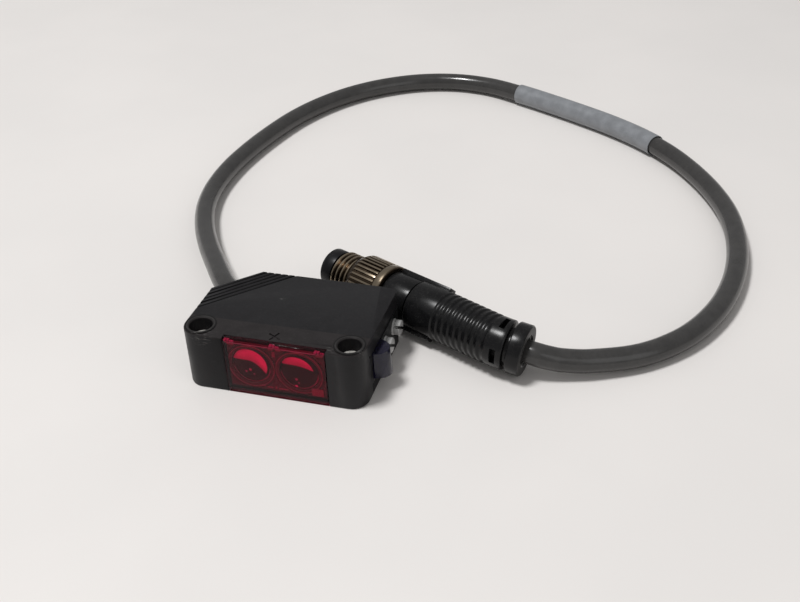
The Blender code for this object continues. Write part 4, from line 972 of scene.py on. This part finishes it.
# Light marks on the plate, each as left, right, low and high in millimetres.
detail_surface = moulded("pale holder marks", (0.22, 0.15, 0.17), 0.4, 2.0, 0.01, 0.0, 0.0, 0.2)
DETAILS = (
    (6.5, 8.5, 1.25, 2.7),
    (-2.2, -1.5, 1.7, 1.95),
    (-1.2, -0.2, 1.55, 1.8),
    (0.2, 0.5, 1.45, 1.95),
    (0.8, 2.4, 1.5, 1.75),
    (0.25, 0.75, 7.9, 9.0),
    (-7.4, -6.2, 9.2, 9.62),
    (-0.3, 0.5, 9.2, 9.62),
    (0.9, 1.8, 9.2, 9.62),
    (7.7, 8.9, 9.2, 9.62),
)


def joined(name, parts, surface, sharp=35.0):
    """One object of several separate closed shapes."""
    whole = bmesh.new()
    for part in parts:
        mesh = bpy.data.meshes.new("part")
        part.to_mesh(mesh)
        part.free()
        whole.from_mesh(mesh)
    return finished(name, whole, surface, sharp)


low_y = HOLDER_FRONT - 0.07 * MM
high_y = HOLDER_FRONT + 0.1 * MM
parts = []
for left, right, low_z, high_z in DETAILS:
    low = (left * MM, low_y, low_z * MM)
    high = (right * MM, high_y, high_z * MM)
    parts.append(block(low, high, rounding=0.03 * MM))
details = joined("holder_details", parts, detail_surface)
fit(details, "sensor", "inner_plastic")
# The pale rings round the lenses are a painted highlight, standing in for light caught at each lens rim.
rings = []
for middle in (RECEIVER_X, EMITTER_X):
    turn = on_lens_axis(middle, HOLDER_FRONT)
    profile = [
        (0.05 * MM, 3.86 * MM),
        (-0.05 * MM, 3.90 * MM),
        (-0.05 * MM, 3.98 * MM),
        (0.05 * MM, 4.02 * MM),
    ]
    ring = turned(profile, 72, 0, closed=True)
    bmesh.ops.transform(ring, matrix=turn, verts=ring.verts)
    ring = finished(f"holder_ring_{len(rings) + 1}", ring, detail_surface)
    low = (-7.4 * MM, HOLDER_FRONT - 1 * MM, 1.2 * MM)
    high = (9.0 * MM, HOLDER_FRONT + 1 * MM, 9.6 * MM)
    shaped(ring, block(low, high), "INTERSECT")
    soften(ring)
    fit(ring, "sensor", "inner_plastic")
    rings.append(ring)


def lens_surface(name, middle, edge_middle, flat, fall, fall_start, glints):
    """Dark glass with a painted crescent of light above a line that falls off to the right, inside a
    circle, a painted lit rim low down and painted glints.
    """
    made, tree, shader = new_material(name)
    place = add_node(tree, "SeparateXYZ", {0: millimetres(tree)}).outputs
    across = place["X"]
    high = place["Z"]

    def away_from(x, z):
        side = maths(tree, "POWER", minus(tree, across, x), 2.0)
        lift = maths(tree, "POWER", minus(tree, high, z), 2.0)
        return maths(tree, "SQRT", maths(tree, "ADD", side, lift))

    past = maths(tree, "MAXIMUM", minus(tree, across, fall_start), 0.0)
    line = minus(tree, flat, times(tree, maths(tree, "POWER", past, 2.0), fall))
    height = minus(tree, high, line)
    above = times(tree, ramp(tree, height, -0.10, 0.14), ramp(tree, height, 0.0, 1.6, 0.62, 1.0))
    crescent = times(tree, above, ramp(tree, away_from(*edge_middle), 3.12, 2.92))
    rim = ramp(tree, away_from(middle / MM, LENS_MIDDLE / MM), 2.98, 3.16)
    low_side = ramp(tree, minus(tree, high, LENS_MIDDLE / MM), 0.4, -1.2)
    glow = maths(tree, "MAXIMUM", crescent, times(tree, times(tree, rim, low_side), 0.34))
    for glint_x, glint_z, size, strength in glints:
        near = ramp(tree, away_from(glint_x, glint_z), size, size * 0.4)
        glow = maths(tree, "MAXIMUM", glow, times(tree, near, strength))
    patches = ramp(tree, noise(tree, millimetres(tree), 0.9, 3.0), 0.3, 0.7, 0.86, 1.0)
    glow = times(tree, glow, patches)
    colour = blend_colours(tree, glow, LENS_DARK, CRESCENT_LIGHT_COLOUR)
    tree.links.new(colour, shader.inputs["Base Color"])
    shader.inputs["Roughness"].default_value = 0.12
    shader.inputs["Specular IOR Level"].default_value = 0.12
    return made


lens_profile = [(0, 0), (0, 1.2 * MM), (0.015 * MM, 2.1 * MM), (0.06 * MM, 2.9 * MM)]
lens_profile += [(0.14 * MM, 3.22 * MM), (0.22 * MM, LENS_RADIUS)]
lens_profile += [(0.5 * MM, LENS_RADIUS), (0.86 * MM, 2.6 * MM)]
lens_profile += [(1.18 * MM, 1.9 * MM), (1.38 * MM, 1.1 * MM), (1.5 * MM, 0)]
receiver_glints = ((-3.89, 4.59, 0.34, 0.50), (-4.64, 4.15, 0.26, 0.40), (-3.30, 3.80, 0.24, 0.25))
emitter_glints = ((3.98, 3.96, 0.32, 0.45), (3.84, 2.51, 0.36, 1.00), (4.35, 3.30, 0.24, 0.30))
LENS_LOOKS = (
    ("receiver", RECEIVER_X, (-3.95, 5.5), 6.42, 0.26, -4.2, receiver_glints),
    ("emitter", EMITTER_X, (4.1, 5.3), 6.78, 0.055, 3.3, emitter_glints),
)
for name, middle, *look in LENS_LOOKS:
    surface = lens_surface(f"{name} lens", middle, *look)
    lens_piece = finished(f"{name}_lens_disc", turned(lens_profile, 96, 0), surface)
    lens_piece.data.transform(on_lens_axis(middle, LENS_FRONT))
    fit(lens_piece, "sensor", "lens", f"{name}_lens")


def restyle(node, surface):
    """Gives a CAD node that keeps its shape its real finish."""
    for slot in nodes[node].material_slots:
        slot.material = surface


def restyle_clean(name, colour, roughness, grain, depth, *kept):
    """Gives CAD nodes that keep their shape one clean moulded finish, without dust or scuffs."""
    surface = moulded(name, colour, roughness, grain, depth, 0.0, 0.0)
    for node in kept:
        restyle(node, surface)


polarisers = ("receiver_polariser", "emitter_polariser")
restyle_clean("grey polarising film", (0.06, 0.05, 0.055), 0.15, 2.0, 0.002, *polarisers)
restyle_clean("black tunnel moulding", (0.015, 0.015, 0.016), 0.6, 4.0, 0.01, "light_baffle")
restyle_clean("clear diode resin", (0.55, 0.52, 0.50), 0.15, 2.0, 0.002, "emitter_diode")
restyle_clean("dark diode resin", (0.03, 0.03, 0.04), 0.22, 2.0, 0.002, "receiver_diode")
restyle("receiver_shield", plated("tinned sheet", (0.68, 0.67, 0.64), 0.3, (0.3, 0.28, 0.25), 0.3))


# Front window
# A clear red tray over the lens face, flush with the case at its long edges. Three welds along its upper
# edge show through the red as brighter pads of small bits, with a thin line below. A thin dark sheet at
# its foot is painted shade along the window's lower edge. The bits are start, end and rise in
# millimetres.
PAD_PLACES = (-6.9, 0.85, 8.4)
PAD_BITS = ((-0.85, -0.4, 0.3), (-0.3, 0.1, 0.4), (0.2, 0.45, 0.26), (0.5, 0.9, 0.34))
PAD_LEVEL = 9.98


def sharp_edges(shape, angle):
    """The edges where two faces meet at more than an angle in radians."""
    edges = [edge for edge in shape.edges if len(edge.link_faces) == 2]
    return [edge for edge in edges if edge.calc_face_angle() > angle]


def clear_tinted(name, tint, sheen, roughness, ior):
    """A clear tinted plastic that what is behind shows through. Its outer face mirrors a little."""
    made, tree, shader = new_material(name)
    tree.nodes.remove(shader)
    output = tree.nodes["Material Output"]
    through = add_node(tree, "BsdfTransparent")
    through.inputs["Color"].default_value = (*tint, 1.0)
    mirror = add_node(tree, "BsdfGlossy")
    mirror.inputs["Color"].default_value = (*sheen, 1.0)
    mirror.inputs["Roughness"].default_value = roughness
    inner = add_node(tree, "NewGeometry").outputs["Backfacing"]
    edge = add_node(tree, "Fresnel", {"IOR": ior}).outputs[0]
    edge = times(tree, edge, minus(tree, 1.0, inner))
    both = add_node(tree, "MixShader", {0: edge, 1: through.outputs[0], 2: mirror.outputs[0]})
    tree.links.new(both.outputs[0], output.inputs["Surface"])
    return made


window_surface = clear_tinted("clear red window", (0.97, 0.31, 0.53), (0.50, 0.48, 0.49), 0.07, 1.45)
pane_shape = merged_copy("front_window")
pane_edges = sharp_edges(pane_shape, 0.6)
bevelled(pane_shape, pane_edges, 0.05 * MM)
pane = finished("window_pane", pane_shape, window_surface, 30)
fit(pane, "sensor", "window", "front_window")

pad_surface = moulded("welded pad", (0.26, 0.09, 0.12), 0.4, 1.8, 0.02, 0.0, 0.0, 0.2)
# A thin dark sheet under the window's foot: painted shade where the window's lower edge lies in shadow.
foot_low = (-7.8 * MM, -2.74 * MM, 0.03 * MM)
foot_high = (9.4 * MM, -1.90 * MM, 0.10 * MM)
foot_shade_surface = moulded("painted shade sheet", (0.05, 0.02, 0.02), 0.6, 3.0, 0.004, 0.0, 0.0, 0.1)
foot = finished("window_foot", block(foot_low, foot_high), foot_shade_surface)
fit(foot, "sensor", "window")
pads = []
for across in PAD_PLACES:
    for bit, (start, end, rise) in enumerate(PAD_BITS):
        low = ((across + start) * MM, -2.62 * MM, PAD_LEVEL * MM)
        high = ((across + end) * MM, (-1.95 - 0.15 * bit) * MM, (PAD_LEVEL + rise) * MM)
        pads.append(block(low, high, rounding=0.05 * MM))
line_low = (-7.6 * MM, -2.64 * MM, 9.84 * MM)
line_high = (9.2 * MM, -2.54 * MM, 9.90 * MM)
pads.append(block(line_low, line_high))
pad_piece = joined("window_pads", pads, pad_surface)
fit(pad_piece, "sensor", "window")


# Indicator end
# A violet smoky dome covers an orange and a green lamp. Beside it two light grey knobs stand in a black
# panel: the sensitivity adjuster, and the selector that swaps the output.
DOME_SPOT = (15.3 * MM, 4.6 * MM)
DOME_HALF_WIDTH = 2.15 * MM
DOME_REACH = (2.75 * MM, 2.4 * MM)
DOME_LEVELS = (2.75 * MM, 7.65 * MM)
DOME_BACK = 14.5 * MM
KNOB_LEVEL = 5.3 * MM
KNOB_REACH = 15.5 * MM
KNOB_SLOT_ANGLE = math.radians(-35)

dome_shape = bmesh.new()
bmesh.ops.create_circle(dome_shape, segments=96, radius=1.0, cap_ends=True)
bmesh.ops.bisect_plane(
    dome_shape,
    geom=dome_shape.verts[:] + dome_shape.edges[:] + dome_shape.faces[:],
    plane_co=(0, 0, 0),
    plane_no=(-1, 0, 0),
    clear_outer=True,
)
grown = bmesh.ops.extrude_face_region(dome_shape, geom=dome_shape.faces[:])["geom"]
upper = [item for item in grown if isinstance(item, bmesh.types.BMVert)]
for point in dome_shape.verts:
    level = 1 if point in upper else 0
    point.co.x = DOME_SPOT[0] + point.co.x * DOME_REACH[level]
    point.co.y = DOME_SPOT[1] + point.co.y * DOME_HALF_WIDTH
    point.co.z = DOME_LEVELS[level]
dome_surface, tree, shader = new_material("smoky violet dome")
shader.inputs["Base Color"].default_value = (0.007, 0.006, 0.022, 1.0)
shader.inputs["Roughness"].default_value = 0.10
shader.inputs["Alpha"].default_value = 0.80
dome = finished("dome", dome_shape, dome_surface, 30)
base_low = (DOME_BACK, DOME_SPOT[1] - DOME_HALF_WIDTH, DOME_LEVELS[0])
base_high = (DOME_SPOT[0] + 0.05 * MM, DOME_SPOT[1] + DOME_HALF_WIDTH, DOME_LEVELS[1])
shaped(dome, block(base_low, base_high), "UNION")
dome_edges = bmesh.new()
dome_edges.from_mesh(dome.data)
make_flats_whole(dome_edges)
rims = sharp_edges(dome_edges, 1.0)
bevelled(dome_edges, rims, 0.16 * MM, 3)
dome_edges.to_mesh(dome.data)
dome_edges.free()
pocket_low = (DOME_BACK - 1 * MM, DOME_SPOT[1] - 1.4 * MM, 3.6 * MM)
pocket_high = (16.7 * MM, DOME_SPOT[1] + 1.4 * MM, 6.8 * MM)
shaped(dome, block(pocket_low, pocket_high))
soften(dome, 30)
fit(dome, "sensor", "dome", "indicator_window")
restyle_clean("orange lamp resin", (0.28, 0.12, 0.03), 0.15, 2.0, 0.002, "operation_indicator")
restyle_clean("green lamp resin", (0.05, 0.18, 0.06), 0.15, 2.0, 0.002, "stability_indicator")
panel_black = (0.010, 0.010, 0.011)
panel_surface = moulded("black panel moulding", panel_black, 0.38, 5.0, 0.005, 0.1, 0.2, 0.3)
restyle("adjuster_panel", panel_surface)


def make_knob(name, across, body, node):
    """A turned knob with a thin skirt in its seat and a screwdriver slot across its end."""
    profile = [
        (-2.8 * MM, 0),
        (-2.8 * MM, 0.85 * MM),
        (-0.3 * MM, 0.85 * MM),
        (-0.3 * MM, 1.45 * MM),
        (0.3 * MM, 1.45 * MM),
        (0.3 * MM, 1.24 * MM),
        (0.42 * MM, 1.20 * MM),
        (0.55 * MM, 1.3 * MM),
        (1.38 * MM, 1.3 * MM),
        (1.5 * MM, 1.18 * MM),
        (1.5 * MM, 0),
    ]
    knob = finished(name, turned(profile, 64, 0.03 * MM), knob_surface)
    low = (0.6 * MM, -3 * MM, -0.25 * MM)
    high = (3 * MM, 3 * MM, 0.25 * MM)
    shaped(knob, block(low, high, Matrix.Rotation(KNOB_SLOT_ANGLE, 4, "X")))
    knob.data.transform(Matrix.Translation((KNOB_REACH, across, KNOB_LEVEL)))
    soften(knob)
    fit(knob, body, "knob", node)


knob_surface = moulded("light grey knob moulding", (0.37, 0.37, 0.365), 0.42, 4.0, 0.008, 0.3, 0.3)
make_knob("sensitivity_knob_piece", 8.5 * MM, "sensitivity_knob", "sensitivity_adjuster")
make_knob("selector_knob_piece", 13.65 * MM, "selector_knob", "mode_selector")
restyle_clean("blue trimmer moulding", (0.04, 0.10, 0.30), 0.4, 3.0, 0.004, "trimmer_body")
restyle_clean("black switch moulding", (0.03, 0.03, 0.03), 0.4, 3.0, 0.004, "switch_body")
seals = ("sensitivity_seal", "selector_seal")
restyle_clean("seal rubber", (0.05, 0.03, 0.03), 0.6, 3.0, 0.004, *seals)
boards = ("main_board", "adjuster_board")
restyle_clean("green board lacquer", (0.02, 0.12, 0.05), 0.35, 2.0, 0.004, *boards)


# Table and light
# A plain pale table top that fills the picture, a soft lamp overhead to the left, a weak fill from the
# right, and an even sky.
TABLE_SIZE = 1.5
TABLE_LEVEL = -0.02 * MM
TABLE_LIGHT = (0.80, 0.772, 0.75, 1.0)
TABLE_DARK = (0.77, 0.745, 0.725, 1.0)
LAMP_TARGET = Vector((0.01, 0.04, 0))
SKY_STRENGTH = 0.34

table_shape = bmesh.new()
bmesh.ops.create_grid(table_shape, x_segments=1, y_segments=1, size=TABLE_SIZE)
table_surface, tree, shader = new_material("pale table")
broad = noise(tree, millimetres(tree), 0.02, 3.0)
fine = noise(tree, millimetres(tree), 1.2, 4.0)
tone = blend_colours(tree, ramp(tree, broad, 0.3, 0.7), TABLE_LIGHT, TABLE_DARK)
bump = add_node(tree, "Bump", {"Height": fine, "Distance": 0.00002, "Strength": 0.5})
tree.links.new(tone, shader.inputs["Base Color"])
tree.links.new(bump.outputs["Normal"], shader.inputs["Normal"])
shader.inputs["Roughness"].default_value = 0.55
table = finished("table", table_shape, table_surface)
table.data.transform(Matrix.Translation((0, 0, TABLE_LEVEL)))

world = bpy.data.worlds.new("sky")
bpy.context.scene.world = world
world.use_nodes = True
sky = world.node_tree.nodes["Background"]
sky.inputs["Color"].default_value = (1.0, 0.99, 0.985, 1.0)
sky.inputs["Strength"].default_value = SKY_STRENGTH


def soft_lamp(name, spot, size, power):
    """A square area lamp that looks at the sensor."""
    data = bpy.data.lights.new(name, "AREA")
    data.size = size
    data.energy = power
    made = bpy.data.objects.new(name, data)
    place = Vector(spot)
    facing = (place - LAMP_TARGET).to_track_quat("Z", "Y").to_matrix().to_4x4()
    made.matrix_world = Matrix.Translation(place) @ facing
    bpy.context.scene.collection.objects.link(made)


soft_lamp("overhead lamp", (-0.25, -0.14, 0.90), 0.20, 6.5)
soft_lamp("right fill", (0.60, -0.35, 0.40), 0.50, 0.55)
